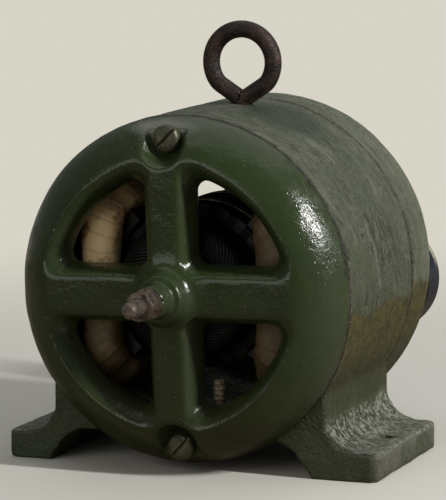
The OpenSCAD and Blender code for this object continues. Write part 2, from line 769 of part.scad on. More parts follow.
// Sheet brass box for one brush, with a stud into the rocker
box_gap = 0.3;
module brush_box(s) {
    w = brush_t / 2 + box_gap + box_sheet;
    l = brush_l / 2 + box_gap + box_sheet;
    z0 = comm_r + 2.5;
    stud_y = rocker_y - 1.2;
    color("goldenrod") translate([0, 0, axis_h]) scale([1, 1, 1]) rotate([0, s > 0 ? 0 : 180, 0]) {
        difference() {
            translate([-w, box_y - l, z0]) cube([2 * w, 2 * l, box_top - z0]);
            translate([-w + box_sheet, box_y - l + box_sheet, z0 - cut])
                cube([2 * (w - box_sheet), 2 * (l - box_sheet), box_top - z0 - box_sheet + cut]);
        }
        translate([0, box_y + l, insulator_r]) rotate([-90, 0, 0]) {
            cylinder(r = 4.5, h = stud_y - box_y - l - 0.02);
            cylinder(r = 2, h = rocker_y + rocker_t + 1.5 - box_y - l);
        }
    }
}

// Carbon brush with its face hollowed to the commutator
module carbon_brush(s) {
    color("black") translate([0, 0, axis_h]) rotate([0, s > 0 ? 0 : 180, 0]) difference() {
        translate([-brush_t / 2, box_y - brush_l / 2, comm_r - 1]) cube([brush_t, brush_l, brush_h + 1]);
        translate([0, box_y - brush_l, 0]) rotate([-90, 0, 0]) cylinder(r = comm_r + 0.1, h = brush_l * 2);
    }
}

// Open-coiled spring that presses the brush down, one unbroken tube
spring_turns = 4;
spring_rings = 10;
spring_sides = 6;
spring_wire = 0.35;
module brush_spring(s) {
    z0 = comm_r + brush_h + spring_wire + 0.02;
    z1 = box_top - box_sheet - spring_wire - 0.02;
    count = spring_turns * spring_rings;
    spring_r = brush_t / 2 - 0.8;
    rise = (z1 - z0) / count;
    points = [for (i = [0 : count], k = [0 : spring_sides - 1])
        let (a = 360 * i / spring_rings, b = 360 * k / spring_sides, r = spring_r + spring_wire * cos(b))
        [r * cos(a), r * sin(a), z0 + rise * i + spring_wire * sin(b)]];
    side_faces = [for (i = [0 : count - 1], k = [0 : spring_sides - 1])
        let (k2 = wrap(k + 1, spring_sides), a = i * spring_sides + k, b = i * spring_sides + k2,
            c = a + spring_sides, d = b + spring_sides)
        each [[a, c, d], [a, d, b]]];
    last = count * spring_sides;
    end_faces = [for (k = [1 : spring_sides - 2]) each [[0, k, k + 1], [last, last + k + 1, last + k]]];
    color("silver") translate([0, box_y, axis_h]) rotate([0, s > 0 ? 0 : 180, 0])
        polyhedron(points, concat(side_faces, end_faces));
}

// Terminal housing on the rear bell's pad
stud_gap = 26;
stud_r = 2.5;
base_t = 6;
cap_wall = 3;
module terminal_at(y) {
    translate([term_x, y, axis_h - term_drop]) rotate([-90, 0, 0]) children();
}
module terminal_base() {
    color("saddlebrown") difference() {
        terminal_at(rear_face_y + 0.02) {
            cylinder(d = term_d - 2 * cap_wall - 0.4, h = base_t);
            for (x = [-1, 1]) translate([x * stud_gap / 2, 0, -rear_spoke_t + 2])
                cylinder(r = stud_r + 1.5, h = rear_spoke_t - 2);
        }
        terminal_at(rear_plate_y - 2) {
            for (x = [-1, 1]) translate([x * stud_gap / 2, 0, 0]) cylinder(r = stud_r, h = 40);
            cylinder(r = 2, h = 40);
        }
    }
}

// Studs with their nuts
module terminal_studs() {
    color("goldenrod") terminal_at(rear_plate_y - 2) for (x = [-1, 1]) translate([x * stud_gap / 2, 0, 0]) {
        cylinder(r = stud_r, h = rear_spoke_t + base_t + 8);
        translate([0, 0, rear_spoke_t + base_t + 2.04]) cylinder(d = 9, h = 3.2, $fn = 6);
    }
}

// Turned cap with a rounded edge
lead_y = rear_face_y + base_t + 6;
module terminal_cap() {
    r = term_d / 2;
    round_r = 5;
    inner = r - cap_wall;
    color("midnightblue") difference() {
        terminal_at(rear_face_y + 0.02) rotate_extrude() difference() {
            union() {
                square([r, term_h - round_r]);
                square([r - round_r, term_h]);
                translate([r - round_r, term_h - round_r]) circle(r = round_r, $fn = 48);
            }
            translate([0, -cut]) square([inner, term_h - cap_wall + cut]);
            square([2, term_h + cut]);
        }
        terminal_at(lead_y) rotate([-90, 0, 0]) cylinder(r = 4.1, h = term_d);
    }
}
module terminal_cap_screw() {
    color("goldenrod") terminal_at(rear_face_y + 0.02) difference() {
        union() {
            translate([0, 0, base_t - 5]) cylinder(r = 1.9, h = term_h - base_t + 5.5);
            translate([0, 0, term_h + 0.02]) cylinder(r = 4.5, h = 3);
        }
        translate([-6, -0.6, term_h + 1.8]) cube([12, 1.2, 3]);
    }
}

// Rubber bush in the cap's lead outlet
module lead_bush() {
    color("black") terminal_at(lead_y) rotate([-90, 0, 0])
        translate([0, 0, term_d / 2 - cap_wall - 2.1]) difference() {
            union() {
                cylinder(r = 4, h = cap_wall + 4.1);
                cylinder(r = 5.5, h = 1.2);
                translate([0, 0, cap_wall + 2.5]) cylinder(r = 5.5, h = 1.6);
            }
            translate([0, 0, -cut]) cylinder(r = 2.5, h = 12);
        }
}

// Lead between the two coils, with its wrapped splice standing up inside the lower windows
link_r = coil_mid + 3.5;
splice_x = 18.5;
splice_top = 44.5;
module field_link_lead() {
    span = 2 * (90 - coil_side) - 1.5;
    wire_r = 2;
    color("tan") towards_front(core_mid() - coil_reach - 2) {
        rotate([0, 0, 270 - span / 2]) rotate_extrude(angle = span)
            translate([link_r, 0]) circle(r = wire_r, $fn = 24);
        translate([splice_x, -splice_top, 0]) rotate([90, 0, 0]) {
            cylinder(r = 3.1, h = 13);
            cylinder(r = 2.2, h = sqrt(link_r * link_r - splice_x * splice_x) - splice_top);
        }
    }
}

yoke_frame();
front_bell();
rear_bell();
front_bell_screws();
rear_bell_screws();
eye_bolt();
pole_shoe(-1);  // pole_shoe_left
pole_shoe(1);  // pole_shoe_right
pole_shoe_screws();
field_coil(-1);  // field_coil_left
field_coil(1);  // field_coil_right
field_link_lead();
front_bush();
rear_bush();
brush_rocker();
rocker_clamp_screw();
brush_insulators();
brush_box(1);  // brush_box_top
brush_box(-1);  // brush_box_bottom
carbon_brush(1);  // brush_top
carbon_brush(-1);  // brush_bottom
brush_spring(1);  // brush_spring_top
brush_spring(-1);  // brush_spring_bottom
terminal_base();
terminal_studs();
terminal_cap();
terminal_cap_screw();
lead_bush();
shaft();
armature_core();
slot_coils();
armature_winding_front();
armature_winding_rear();
winding_bands();
commutator_bars();
commutator_mica();
commutator_sleeve();
thrust_collar();
nut_washer();
shaft_nut();
pulley();
pulley_set_screw();
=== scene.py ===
import math

import bmesh
import bpy
import numpy as np
from mathutils import Matrix, Vector, noise


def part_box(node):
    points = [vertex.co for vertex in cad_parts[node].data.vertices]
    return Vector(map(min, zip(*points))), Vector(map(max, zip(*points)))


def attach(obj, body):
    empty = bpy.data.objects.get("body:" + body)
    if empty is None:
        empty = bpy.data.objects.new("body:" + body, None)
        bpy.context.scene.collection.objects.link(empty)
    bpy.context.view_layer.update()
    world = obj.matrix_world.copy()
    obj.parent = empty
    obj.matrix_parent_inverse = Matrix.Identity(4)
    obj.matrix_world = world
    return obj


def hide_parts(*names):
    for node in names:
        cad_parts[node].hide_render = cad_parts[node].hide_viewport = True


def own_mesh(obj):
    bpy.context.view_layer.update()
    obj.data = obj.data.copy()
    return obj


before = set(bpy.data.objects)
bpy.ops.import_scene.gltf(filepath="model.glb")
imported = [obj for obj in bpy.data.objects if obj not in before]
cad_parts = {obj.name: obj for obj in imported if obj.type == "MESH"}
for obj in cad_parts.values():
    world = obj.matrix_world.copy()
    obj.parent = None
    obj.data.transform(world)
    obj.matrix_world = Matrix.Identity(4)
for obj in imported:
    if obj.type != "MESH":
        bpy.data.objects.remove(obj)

scene = bpy.context.scene
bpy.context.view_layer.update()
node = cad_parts

# Drum (yoke) and its two feet, one grey iron casting. The bore and the two seams are turned.
# Green enamel was brushed over the rough sand-cast skin, and has greyed under dust and scrapes.
AXIS = 0.094
DRUM_R = 0.09
BARREL_GREEN = (0.050, 0.066, 0.036, 1)
BARREL_DUST = (0.135, 0.142, 0.098, 1)
BARE_IRON = (0.040, 0.034, 0.026, 1)
RUBBED_PALE = (0.185, 0.196, 0.150, 1)
RUBBED_DARK = (0.060, 0.072, 0.042, 1)
REAR_PALE = (0.205, 0.222, 0.165, 1)
OLIVE_PALE = (0.080, 0.068, 0.013, 1)
OLIVE_DARK = (0.030, 0.031, 0.008, 1)
OLIVE_LOW = (0.030, 0.038, 0.014, 1)
WIPED_GREEN = (0.022, 0.038, 0.020, 1)
FOOT_PAINTED_SHADOW = (0.020, 0.034, 0.018, 1)
CORNER_BROWN = (0.040, 0.031, 0.026, 1)
SCUFF_PALE = (0.33, 0.345, 0.275, 1)
SCUFF_DARK = (0.020, 0.028, 0.016, 1)
FOOT_DUST = (0.180, 0.182, 0.140, 1)
FRONT_GREEN = (0.028, 0.046, 0.012, 1)
SEAM_DIRT = (0.030, 0.024, 0.015, 1)
SEAM_CHALK = (0.19, 0.17, 0.115, 1)
SEAM_BLACK = (0.010, 0.009, 0.007, 1)
SWELL_SCALE, RIPPLE_SCALE, RIPPLE_SHARE = 70, 190, 0.45
RIPPLE_SHIFT = Vector((3.1, 1.7, 5.3))


def feed(tree, made, inputs):
    for name, value in dict(inputs).items():
        if isinstance(value, bpy.types.NodeSocket):
            tree.links.new(value, made.inputs[name])
        else:
            made.inputs[name].default_value = value
    return made


def put(tree, kind, inputs=(), **options):
    made = tree.nodes.new("ShaderNode" + kind)
    for name, value in options.items():
        setattr(made, name, value)
    return feed(tree, made, inputs)


def calc(tree, operation, a, b=0.0):
    return put(tree, "Math", {0: a, 1: b}, operation=operation).outputs[0]


def times(tree, *values):
    result = values[0]
    for value in values[1:]:
        result = calc(tree, "MULTIPLY", result, value)
    return result


def plus(tree, *values):
    result = values[0]
    for value in values[1:]:
        result = calc(tree, "ADD", result, value)
    return result


def minus(tree, a, b):
    return calc(tree, "SUBTRACT", a, b)


def most(tree, a, b):
    return calc(tree, "MAXIMUM", a, b)


def apart(tree, value, middle=0.5):
    return calc(tree, "ABSOLUTE", minus(tree, value, middle))


def rise(tree, value, low, high, to_low=0.0, to_high=1.0):
    ends = {"From Min": low, "From Max": high, "To Min": to_low, "To Max": to_high}
    made = put(tree, "MapRange", {"Value": value, **ends}, interpolation_type="SMOOTHSTEP")
    return made.outputs[0]


def blend_colour(tree, factor, a, b, how="MIX"):
    made = put(tree, "Mix", {0: factor, 6: a, 7: b}, data_type="RGBA", blend_type=how)
    return made.outputs[2]


def wash(tree, colour, paint, mask, strength=1.0):
    factor = mask if strength == 1.0 else times(tree, mask, strength)
    return blend_colour(tree, factor, colour, paint)


def grain(tree, coords, scale, detail=4.0, rough=0.6, twist=0.0):
    values = {"Vector": coords, "Scale": scale, "Detail": detail, "Roughness": rough}
    return put(tree, "TexNoise", {**values, "Distortion": twist}).outputs[0]


def stretch(tree, coords, scale, turn=(0, 0, 0)):
    return put(tree, "Mapping", {"Vector": coords, "Rotation": turn, "Scale": scale}).outputs[0]


def split(tree, vector):
    return put(tree, "SeparateXYZ", {0: vector}).outputs


def object_coords(tree):
    return put(tree, "TexCoord").outputs["Object"]


def facing(tree):
    return split(tree, put(tree, "TexCoord").outputs["Normal"])


def round_drum(tree, at):
    return calc(tree, "ARCTAN2", at["X"], minus(tree, at["Z"], AXIS))


def new_group(name, inputs, outputs):
    tree = bpy.data.node_groups.new(name, "ShaderNodeTree")
    for label, kind, value in inputs:
        socket_type = "NodeSocket" + kind
        made = tree.interface.new_socket(label, in_out="INPUT", socket_type=socket_type)
        made.default_value = value
    for label, kind in outputs:
        tree.interface.new_socket(label, in_out="OUTPUT", socket_type="NodeSocket" + kind)
    given = tree.nodes.new("NodeGroupInput").outputs
    return tree, given, tree.nodes.new("NodeGroupOutput").inputs


def give_out(tree, made_out, values):
    for name, value in values.items():
        tree.links.new(value, made_out[name])


def use_group(tree, group, inputs):
    made = tree.nodes.new("ShaderNodeGroup")
    made.node_tree = group
    return feed(tree, made, inputs).outputs


def edge_mask(tree, radius):
    soft = put(tree, "Bevel", {"Radius": radius}, samples=6).outputs[0]
    hard = put(tree, "NewGeometry").outputs["Normal"]
    same = put(tree, "VectorMath", {0: soft, 1: hard}, operation="DOT_PRODUCT")
    return rise(tree, same.outputs["Value"], 0.985, 0.90)


# Old enamel: dust that settles on what faces up, pits, scratches, flecks along the drum's turn.
old_enamel, given, made_out = new_group(
    "old_enamel",
    [
        ("Paint", "Color", BARREL_GREEN),
        ("Dust", "Color", BARREL_DUST),
        ("Chip", "Color", BARE_IRON),
        ("Dust Amount", "Float", 0.6),
        ("Chip Amount", "Float", 0.4),
        ("Scratch Amount", "Float", 0.5),
        ("Edge Wear", "Float", 0.5),
        ("Base Roughness", "Float", 0.4),
        ("Grit", "Float", 0.2),
    ],
    [("Color", "Color"), ("Roughness", "Float"), ("Height", "Float"), ("Cloud", "Float")],
)
g = old_enamel
where = object_coords(g)
at = split(g, where)
normal = facing(g)
cloud = grain(g, where, 24.0, 5.0, 0.62, 0.4)
mottle = grain(g, where, 130.0, 6.0, 0.66)
lump = grain(g, where, 390.0, 3.0, 0.6)
grit = grain(g, where, 900.0, 3.0, 0.7)
rolled = {
    "X": times(g, round_drum(g, at), DRUM_R, 75.0),
    "Y": times(g, at["Y"], 310.0),
    "Z": times(g, at["Z"], 40.0),
}
fleck = grain(g, put(g, "CombineXYZ", rolled).outputs[0], 1.0, 5.0, 0.74)
pit = put(g, "TexVoronoi", {"Vector": where, "Scale": 330.0, "Randomness": 1.0})
pit = times(g, rise(g, pit.outputs["Distance"], 0.28, 0.12), rise(g, mottle, 0.48, 0.58))
settled = plus(g, times(g, cloud, 0.30), times(g, mottle, 0.35), times(g, fleck, 0.35))
lying = rise(g, normal["Z"], -0.35, 0.95, 0.45, 1.0)
sheltered = rise(g, normal["Y"], -0.9, -0.3, 0.15, 1.0)
dust = times(g, rise(g, settled, 0.38, 0.60), lying, sheltered, given["Dust Amount"])
scratches = None
for turn, scale, width in (
    ((0.3, 0.5, 0.25), (35.0, 620.0, 90.0), 0.010),
    ((1.1, -0.3, 0.9), (520.0, 28.0, 110.0), 0.008),
):
    line = apart(g, grain(g, stretch(g, where, scale, turn), 1.0, 2.0, 0.4))
    line = times(g, rise(g, line, width, 0.0), rise(g, cloud, 0.50, 0.60))
    scratches = line if scratches is None else most(g, scratches, line)
flecks = times(g, rise(g, fleck, 0.535, 0.575), rise(g, cloud, 0.38, 0.54, 0.30, 1.0))
dots = times(g, rise(g, grain(g, where, 400.0, 2.0), 0.585, 0.63), rise(g, mottle, 0.44, 0.54))
flecks = most(g, flecks, times(g, dots, 0.8))
scratches = times(g, most(g, scratches, flecks), given["Scratch Amount"])
worn = times(g, edge_mask(g, 0.0011), rise(g, mottle, 0.42, 0.60), given["Edge Wear"])
chips = most(g, times(g, pit, given["Chip Amount"]), worn)
shaded = blend_colour(g, 1.0, given["Paint"], (0.62, 0.66, 0.60, 1), "MULTIPLY")
darkest = blend_colour(g, 1.0, given["Paint"], (0.26, 0.29, 0.24, 1), "MULTIPLY")
colour = wash(g, given["Paint"], shaded, rise(g, cloud, 0.35, 0.68, 0.0, 0.55))
colour = wash(g, colour, given["Dust"], dust)
colour = wash(g, colour, given["Chip"], chips)
colour = wash(g, colour, darkest, scratches)
rough = plus(g, given["Base Roughness"], times(g, most(g, dust, chips), 0.38))
rough = plus(g, rough, times(g, minus(g, mottle, 0.5), 0.25))
height = plus(g, times(g, mottle, 0.40), times(g, lump, 0.30), times(g, grit, given["Grit"]))
height = minus(g, height, times(g, most(g, pit, scratches), 0.18))
give_out(g, made_out, {"Color": colour, "Roughness": rough, "Height": height, "Cloud": cloud})

# A patch with a ragged rim, for wiped, smeared or worn places.
patch_group, given, made_out = new_group(
    "ragged_patch",
    [
        ("Centre", "Vector", (0, 0, 0)),
        ("Size", "Vector", (0.01, 0.01, 0.01)),
        ("Ragged", "Float", 0.5),
        ("Softness", "Float", 0.3),
    ],
    [("Mask", "Float")],
)
g = patch_group
where = object_coords(g)
away = put(g, "VectorMath", {0: where, 1: given["Centre"]}, operation="SUBTRACT").outputs[0]
away = put(g, "VectorMath", {0: away, 1: given["Size"]}, operation="DIVIDE").outputs[0]
away = put(g, "VectorMath", {0: away}, operation="LENGTH").outputs["Value"]
torn = times(g, minus(g, grain(g, where, 110.0), 0.5), given["Ragged"])
outside, inside = plus(g, 1.0, given["Softness"]), minus(g, 1.0, given["Softness"])
soft = {"Value": plus(g, away, torn), "From Min": outside, "From Max": inside}
give_out(g, made_out, {"Mask": put(g, "MapRange", soft).outputs[0]})


def patch(tree, centre, size, ragged, softness):
    shape = {"Centre": centre, "Size": size, "Ragged": ragged, "Softness": softness}
    return use_group(tree, patch_group, shape)["Mask"]


# Wear along a turned seam: a black crack, and stretches where the enamel has flaked.
seam_group, given, made_out = new_group(
    "seam_wear", [("Seam", "Float", 0.0)], [("Crack", "Float"), ("Flaked", "Float")]
)
g = seam_group
where = object_coords(g)
off = apart(g, split(g, where)["Y"], given["Seam"])
ragged = times(g, minus(g, grain(g, where, 260.0, 5.0, 0.7), 0.5), 0.006)
outer = rise(g, calc(g, "ABSOLUTE", facing(g)["Y"]), 0.80, 0.45)
here = times(g, rise(g, grain(g, where, 34.0, 3.0), 0.44, 0.56), outer)
crack = times(g, rise(g, plus(g, off, times(g, ragged, 0.12)), 0.0019, 0.0011), outer)
flaked = times(g, rise(g, plus(g, off, ragged), 0.0038, 0.0024), here)
give_out(g, made_out, {"Crack": crack, "Flaked": flaked})


def new_material(name):
    material = bpy.data.materials.new(name)
    material.use_nodes = True
    tree = material.node_tree
    tree.nodes.clear()
    shader = tree.nodes.new("ShaderNodeBsdfPrincipled")
    output = tree.nodes.new("ShaderNodeOutputMaterial")
    tree.links.new(shader.outputs[0], output.inputs["Surface"])
    return material, tree, shader


def set_surface(tree, shader, colour, rough, height, depth, strength, corner=0.0, **plain):
    plain = {name.replace("_", " "): value for name, value in plain.items()}
    feed(tree, shader, {"Base Color": colour, "Roughness": rough, **plain})
    bump = put(tree, "Bump", {"Height": height, "Distance": depth, "Strength": strength})
    if corner:
        rounded = put(tree, "Bevel", {"Radius": corner}, samples=6).outputs[0]
        tree.links.new(rounded, bump.inputs["Normal"])
    tree.links.new(bump.outputs[0], shader.inputs["Normal"])


def merge_doubles(mesh):
    work = bmesh.new()
    work.from_mesh(mesh)
    bmesh.ops.remove_doubles(work, verts=work.verts, dist=1e-6)
    work.to_mesh(mesh)
    work.free()


def smooth_all(mesh):
    for polygon in mesh.polygons:
        polygon.use_smooth = True
        polygon.material_index = 0


def add_piece(name, data):
    piece = bpy.data.objects.new(name, data)
    scene.collection.objects.link(piece)
    return piece


def as_mesh(piece):
    bpy.context.view_layer.update()
    ready = piece.evaluated_get(bpy.context.evaluated_depsgraph_get())
    return bpy.data.meshes.new_from_object(ready)


# A casting's skin: the CAD solid with its edges softened and the waves of a sand mould.
# It stays in the solid's box, so that the feet are flat on the floor.
def cast_skin(source, name, voxel, smoothing, wave):
    mesh = node[source].data.copy()
    piece = add_piece(name, mesh)
    merge_doubles(mesh)
    skin = piece.modifiers.new("skin", "REMESH")
    skin.mode = "VOXEL"
    skin.voxel_size = voxel
    soften = piece.modifiers.new("soften", "SMOOTH")
    soften.factor = 0.5
    soften.iterations = smoothing
    result = as_mesh(piece)
    piece.modifiers.clear()
    piece.data = result
    normals = [v.normal.copy() for v in result.vertices]
    low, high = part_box(source)
    for vertex, normal in zip(result.vertices, normals):
        swell = noise.noise(vertex.co * SWELL_SCALE)
        ripple = noise.noise(vertex.co * RIPPLE_SCALE + RIPPLE_SHIFT)
        moved = vertex.co + normal * ((swell + RIPPLE_SHARE * ripple) * wave)
        vertex.co = [min(max(value, a), b) for value, a, b in zip(moved, low, high)]
    result.materials.clear()
    smooth_all(result)
    return piece


front_seam, rear_seam = (corner.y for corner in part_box("yoke_frame"))
barrel_enamel, t, shader = new_material("barrel_enamel")
wear = {"Dust Amount": 0.95, "Chip Amount": 0.85, "Scratch Amount": 0.82, "Edge Wear": 0.75}
wear |= {"Base Roughness": 0.46, "Grit": 0.24}
base = use_group(
    t, old_enamel, {"Paint": BARREL_GREEN, "Dust": BARREL_DUST, "Chip": BARE_IRON, **wear}
)
where = object_coords(t)
at = split(t, where)
normal = facing(t)

# Rubbed bands run round the drum, and its rear half is paler.
brushed = {"X": times(t, round_drum(t, at), 2.2), "Y": times(t, at["Y"], 62.0)}
brushed = grain(t, put(t, "CombineXYZ", brushed).outputs[0], 1.0, 6.0, 0.68)
colour = wash(t, base["Color"], RUBBED_PALE, rise(t, brushed, 0.53, 0.66, 0.0, 0.42))
colour = wash(t, colour, RUBBED_DARK, rise(t, brushed, 0.47, 0.36, 0.0, 0.50))
colour = wash(t, colour, REAR_PALE, rise(t, at["Y"], 0.010, 0.085, 0.0, 0.34))

# Oil has stained the right side olive from just under the axis down to the foot.
level = plus(t, at["Z"], times(t, minus(t, base["Cloud"], 0.5), 0.03))
stained = times(t, rise(t, level, 0.087, 0.080), rise(t, level, 0.024, 0.036))
stained = times(t, stained, rise(t, at["X"], 0.0, 0.05))
mottled = rise(t, grain(t, where, 230.0, 6.0, 0.76), 0.44, 0.58)
olive = wash(t, OLIVE_PALE, OLIVE_DARK, mottled)
olive = wash(t, olive, OLIVE_LOW, rise(t, level, 0.066, 0.042, 0.0, 0.75))
colour = wash(t, colour, olive, stained, 0.90)

# One place was wiped beside the eye, the right foot's top has a dark green patch of painted
# shadow, and its front corner is brown.
wiped = patch(t, (0.034, 0.010, 0.180), (0.022, 0.026, 0.02), 0.5, 0.35)
colour = wash(t, colour, WIPED_GREEN, wiped, 0.75)
# Painted shadow: a dark green patch on the top of the right foot.
foot_shadow = patch(t, (0.088, -0.026, 0.0145), (0.012, 0.017, 0.006), 0.5, 0.2)
colour = wash(t, colour, FOOT_PAINTED_SHADOW, foot_shadow, 0.8)
corner_worn = patch(t, (0.100, -0.046, 0.006), (0.016, 0.012, 0.014), 0.9, 0.3)
colour = wash(t, colour, CORNER_BROWN, corner_worn, 0.85)

# The feet are scuffed pale and dark where they face up.
streaks = grain(t, stretch(t, where, (46.0, 360.0, 60.0), (0, 0.5, 0.25)), 1.0, 5.0, 0.72)
scuffs = plus(t, times(t, streaks, 0.22), times(t, grain(t, where, 340.0, 5.0, 0.74), 0.78))
foot_zone = times(t, rise(t, level, 0.044, 0.030), rise(t, normal["Z"], 0.05, 0.35))
colour = wash(t, colour, SCUFF_PALE, times(t, foot_zone, rise(t, scuffs, 0.485, 0.565)), 0.72)
colour = wash(t, colour, SCUFF_DARK, times(t, foot_zone, rise(t, scuffs, 0.48, 0.43)), 0.80)
foot_top = times(t, rise(t, at["Z"], 0.020, 0.013), rise(t, base["Cloud"], 0.40, 0.60))
colour = wash(t, colour, FOOT_DUST, foot_top, 0.50)
colour = wash(t, colour, FRONT_GREEN, rise(t, normal["Y"], -0.45, -0.90), 0.85)

broken = rise(t, grain(t, where, 640.0, 3.0), 0.52, 0.60)
broken = wash(t, SEAM_DIRT, SEAM_CHALK, broken)
for seam, flaking in ((front_seam, 0.9), (rear_seam, 0.45)):
    edge = use_group(t, seam_group, {"Seam": seam})
    colour = wash(t, colour, broken, edge["Flaked"], flaking)
    colour = wash(t, colour, SEAM_BLACK, edge["Crack"], flaking)
set_surface(t, shader, colour, base["Roughness"], base["Height"], depth=0.0022, strength=0.9)
barrel_casting = cast_skin(
    "yoke_frame", "barrel_casting", voxel=0.0015, smoothing=4, wave=0.0003
)
barrel_casting.data.materials.append(barrel_enamel)
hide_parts("yoke_frame")
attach(barrel_casting, "frame")

# Front end bell, a grey iron casting with a bull nose, four spokes and a boss for the bearing.
# It was enamelled thickly, so every edge is round and the dark green still shines on the nose.
BELL_GREEN = (0.026, 0.044, 0.013, 1)
BELL_DUST = (0.052, 0.064, 0.030, 1)
GREASE = (0.030, 0.019, 0.007, 1)
PALE_DUST_SHEEN = (0.058, 0.072, 0.046, 1)
BARE_LIP = (0.20, 0.20, 0.17, 1)
BELL_SEAM_DIRT = (0.018, 0.015, 0.010, 1)
BELL_SEAM_BLACK = (0.008, 0.008, 0.006, 1)

bell_enamel, t, shader = new_material("bell_enamel")
wear = {"Dust Amount": 0.60, "Chip Amount": 0.22, "Scratch Amount": 0.12, "Edge Wear": 0.12}
wear |= {"Base Roughness": 0.135, "Grit": 0.03}
base = use_group(
    t, old_enamel, {"Paint": BELL_GREEN, "Dust": BELL_DUST, "Chip": BARE_IRON, **wear}
)
level = plus(t, split(t, object_coords(t))["Z"], times(t, base["Cloud"], 0.05))
colour = wash(t, base["Color"], GREASE, rise(t, level, 0.100, 0.045), 0.28)
# The side facing +X, toward the window lamp, is painted paler: partly dust, partly painted sheen.
lamp_side = rise(t, facing(t)["X"], 0.35, 0.95)
dust_and_sheen = times(t, lamp_side, rise(t, base["Cloud"], 0.30, 0.55, 0.4, 1.0))
colour = wash(t, colour, PALE_DUST_SHEEN, dust_and_sheen, 0.45)
lip = patch(t, (-0.006, -0.060, 0.178), (0.016, 0.016, 0.0035), 0.7, 0.35)
colour = wash(t, colour, BARE_LIP, lip, 0.45)
edge = use_group(t, seam_group, {"Seam": front_seam})
colour = wash(t, colour, BELL_SEAM_DIRT, edge["Flaked"], 0.85)
colour = wash(t, colour, BELL_SEAM_BLACK, edge["Crack"])
rough, height = base["Roughness"], base["Height"]
set_surface(t, shader, colour, rough, height, depth=0.0008, strength=0.9, Specular_IOR_Level=0.45)
front_casting = cast_skin(
    "front_bell", "front_bell_casting", voxel=0.0011, smoothing=4, wave=0.00022
)
front_casting.data.materials.append(bell_enamel)
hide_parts("front_bell")
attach(front_casting, "frame")

# Rear end bell: the same casting with a deeper skirt and a round pad in place of one window.
# It carries the rear bearing and the terminal housing, and is as dusty as the drum.
rear_casting = cast_skin(
    "rear_bell", "rear_bell_casting", voxel=0.0013, smoothing=3, wave=0.00022
)
rear_casting.data.materials.append(barrel_enamel)
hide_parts("rear_bell")
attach(rear_casting, "frame")

# Slotted bell screws, pole screws, rocker screw, set screw and shaft nut: turned steel parts.
# The screws have greyed under remains of green paint, and the nut has browned with oil.
DARK_TURNING = (0.02, 0.02, 0.02, 1)
SCREW_GREY = (0.14, 0.135, 0.095, 1)
SCREW_GREEN = (0.042, 0.052, 0.026, 1)
NUT_GREY = (0.36, 0.29, 0.24, 1)
NUT_BROWN = (0.024, 0.016, 0.011, 1)
worn_metal, given, made_out = new_group(
    "worn_metal",
    [
        ("Metal", "Color", (0.3, 0.28, 0.25, 1)),
        ("Stain", "Color", (0.06, 0.035, 0.02, 1)),
        ("Stain Amount", "Float", 0.5),
        ("Turning", "Float", 0.3),
        ("Turning Pitch", "Float", 2600.0),
        ("Base Roughness", "Float", 0.4),
    ],
    [("Color", "Color"), ("Roughness", "Float"), ("Height", "Float"), ("Metallic", "Float")],
)
g = worn_metal
where = object_coords(g)
cloud = grain(g, where, 160.0, 5.0, 0.65)
speck = grain(g, where, 900.0, 4.0, 0.7)
wander = times(g, grain(g, where, 60.0, 2.0), 0.0004)
along = plus(g, split(g, where)["Y"], wander)
rings = times(g, calc(g, "SINE", times(g, along, given["Turning Pitch"])), given["Turning"])
stain = rise(g, plus(g, times(g, cloud, 0.65), times(g, speck, 0.35)), 0.40, 0.60)
stain = times(g, stain, given["Stain Amount"])
colour = wash(g, given["Metal"], DARK_TURNING, rise(g, rings, -1.0, 1.0, 0.0, 0.16))
colour = wash(g, colour, given["Stain"], stain)
rough = plus(g, given["Base Roughness"], times(g, stain, 0.35))
height = plus(g, times(g, speck, 0.5), times(g, rings, 0.12))
metal = minus(g, 1.0, times(g, stain, 0.85))
surface = {"Color": colour, "Roughness": rough, "Height": height, "Metallic": metal}
give_out(g, made_out, surface)


def dress(name, material):
    mesh = node[name].data
    mesh.materials.clear()
    mesh.materials.append(material)


def metal_finish(
    name, metal, stain, amount, turning, rough, depth=0.00025, corner=0.0003, pitch=2600.0
):
    material, tree, shader = new_material(name)
    finish = {"Metal": metal, "Stain": stain, "Stain Amount": amount}
    finish |= {"Turning": turning, "Turning Pitch": pitch, "Base Roughness": rough}
    base = use_group(tree, worn_metal, finish)
    surface = base["Color"], base["Roughness"], base["Height"]
    set_surface(tree, shader, *surface, depth, strength=0.7, corner=corner)
    tree.links.new(base["Metallic"], shader.inputs["Metallic"])
    return material


screw_steel = metal_finish(
    "screw_steel", SCREW_GREY, SCREW_GREEN, amount=1.0, turning=0.2, rough=0.42
)
for name in (
    "front_bell_screws",
    "rear_bell_screws",
    "pole_shoe_screws",
    "rocker_clamp_screw",
    "pulley_set_screw",
):
    dress(name, screw_steel)
nut_steel = metal_finish("nut_steel", NUT_GREY, NUT_BROWN, amount=1.0, turning=0.25, rough=0.24)
for name in ("shaft_nut", "nut_washer"):
    dress(name, nut_steel)

# Lifting eye, bent from one wrought iron rod and screwed into the top of the drum.
# The iron is bare, brown to black with rust, and pitted all over.
RUST_BLACK = (0.012, 0.009, 0.009, 1)
RUST_BROWN = (0.058, 0.030, 0.020, 1)
RUST_PALE = (0.095, 0.068, 0.056, 1)
eye_rust, t, shader = new_material("eye_rust")
where = object_coords(t)
cloud = grain(t, where, 120.0, 6.0, 0.68)
speck = grain(t, where, 620.0, 4.0, 0.72)
scale_pit = put(t, "TexVoronoi", {"Vector": where, "Scale": 420.0}).outputs["Distance"]
colour = wash(t, RUST_BLACK, RUST_BROWN, rise(t, cloud, 0.36, 0.64))
colour = wash(t, colour, RUST_PALE, rise(t, speck, 0.57, 0.68, 0.0, 0.5))
height = plus(t, times(t, cloud, 0.5), times(t, speck, 0.5))
height = minus(t, height, times(t, rise(t, scale_pit, 0.3, 0.05), 0.35))
rough = rise(t, speck, 0.35, 0.65, 0.34, 0.62)
set_surface(
    t, shader, colour, rough, height, depth=0.0012, strength=0.8, corner=0.0006, Metallic=0.35
)
dress("eye_bolt", eye_rust)

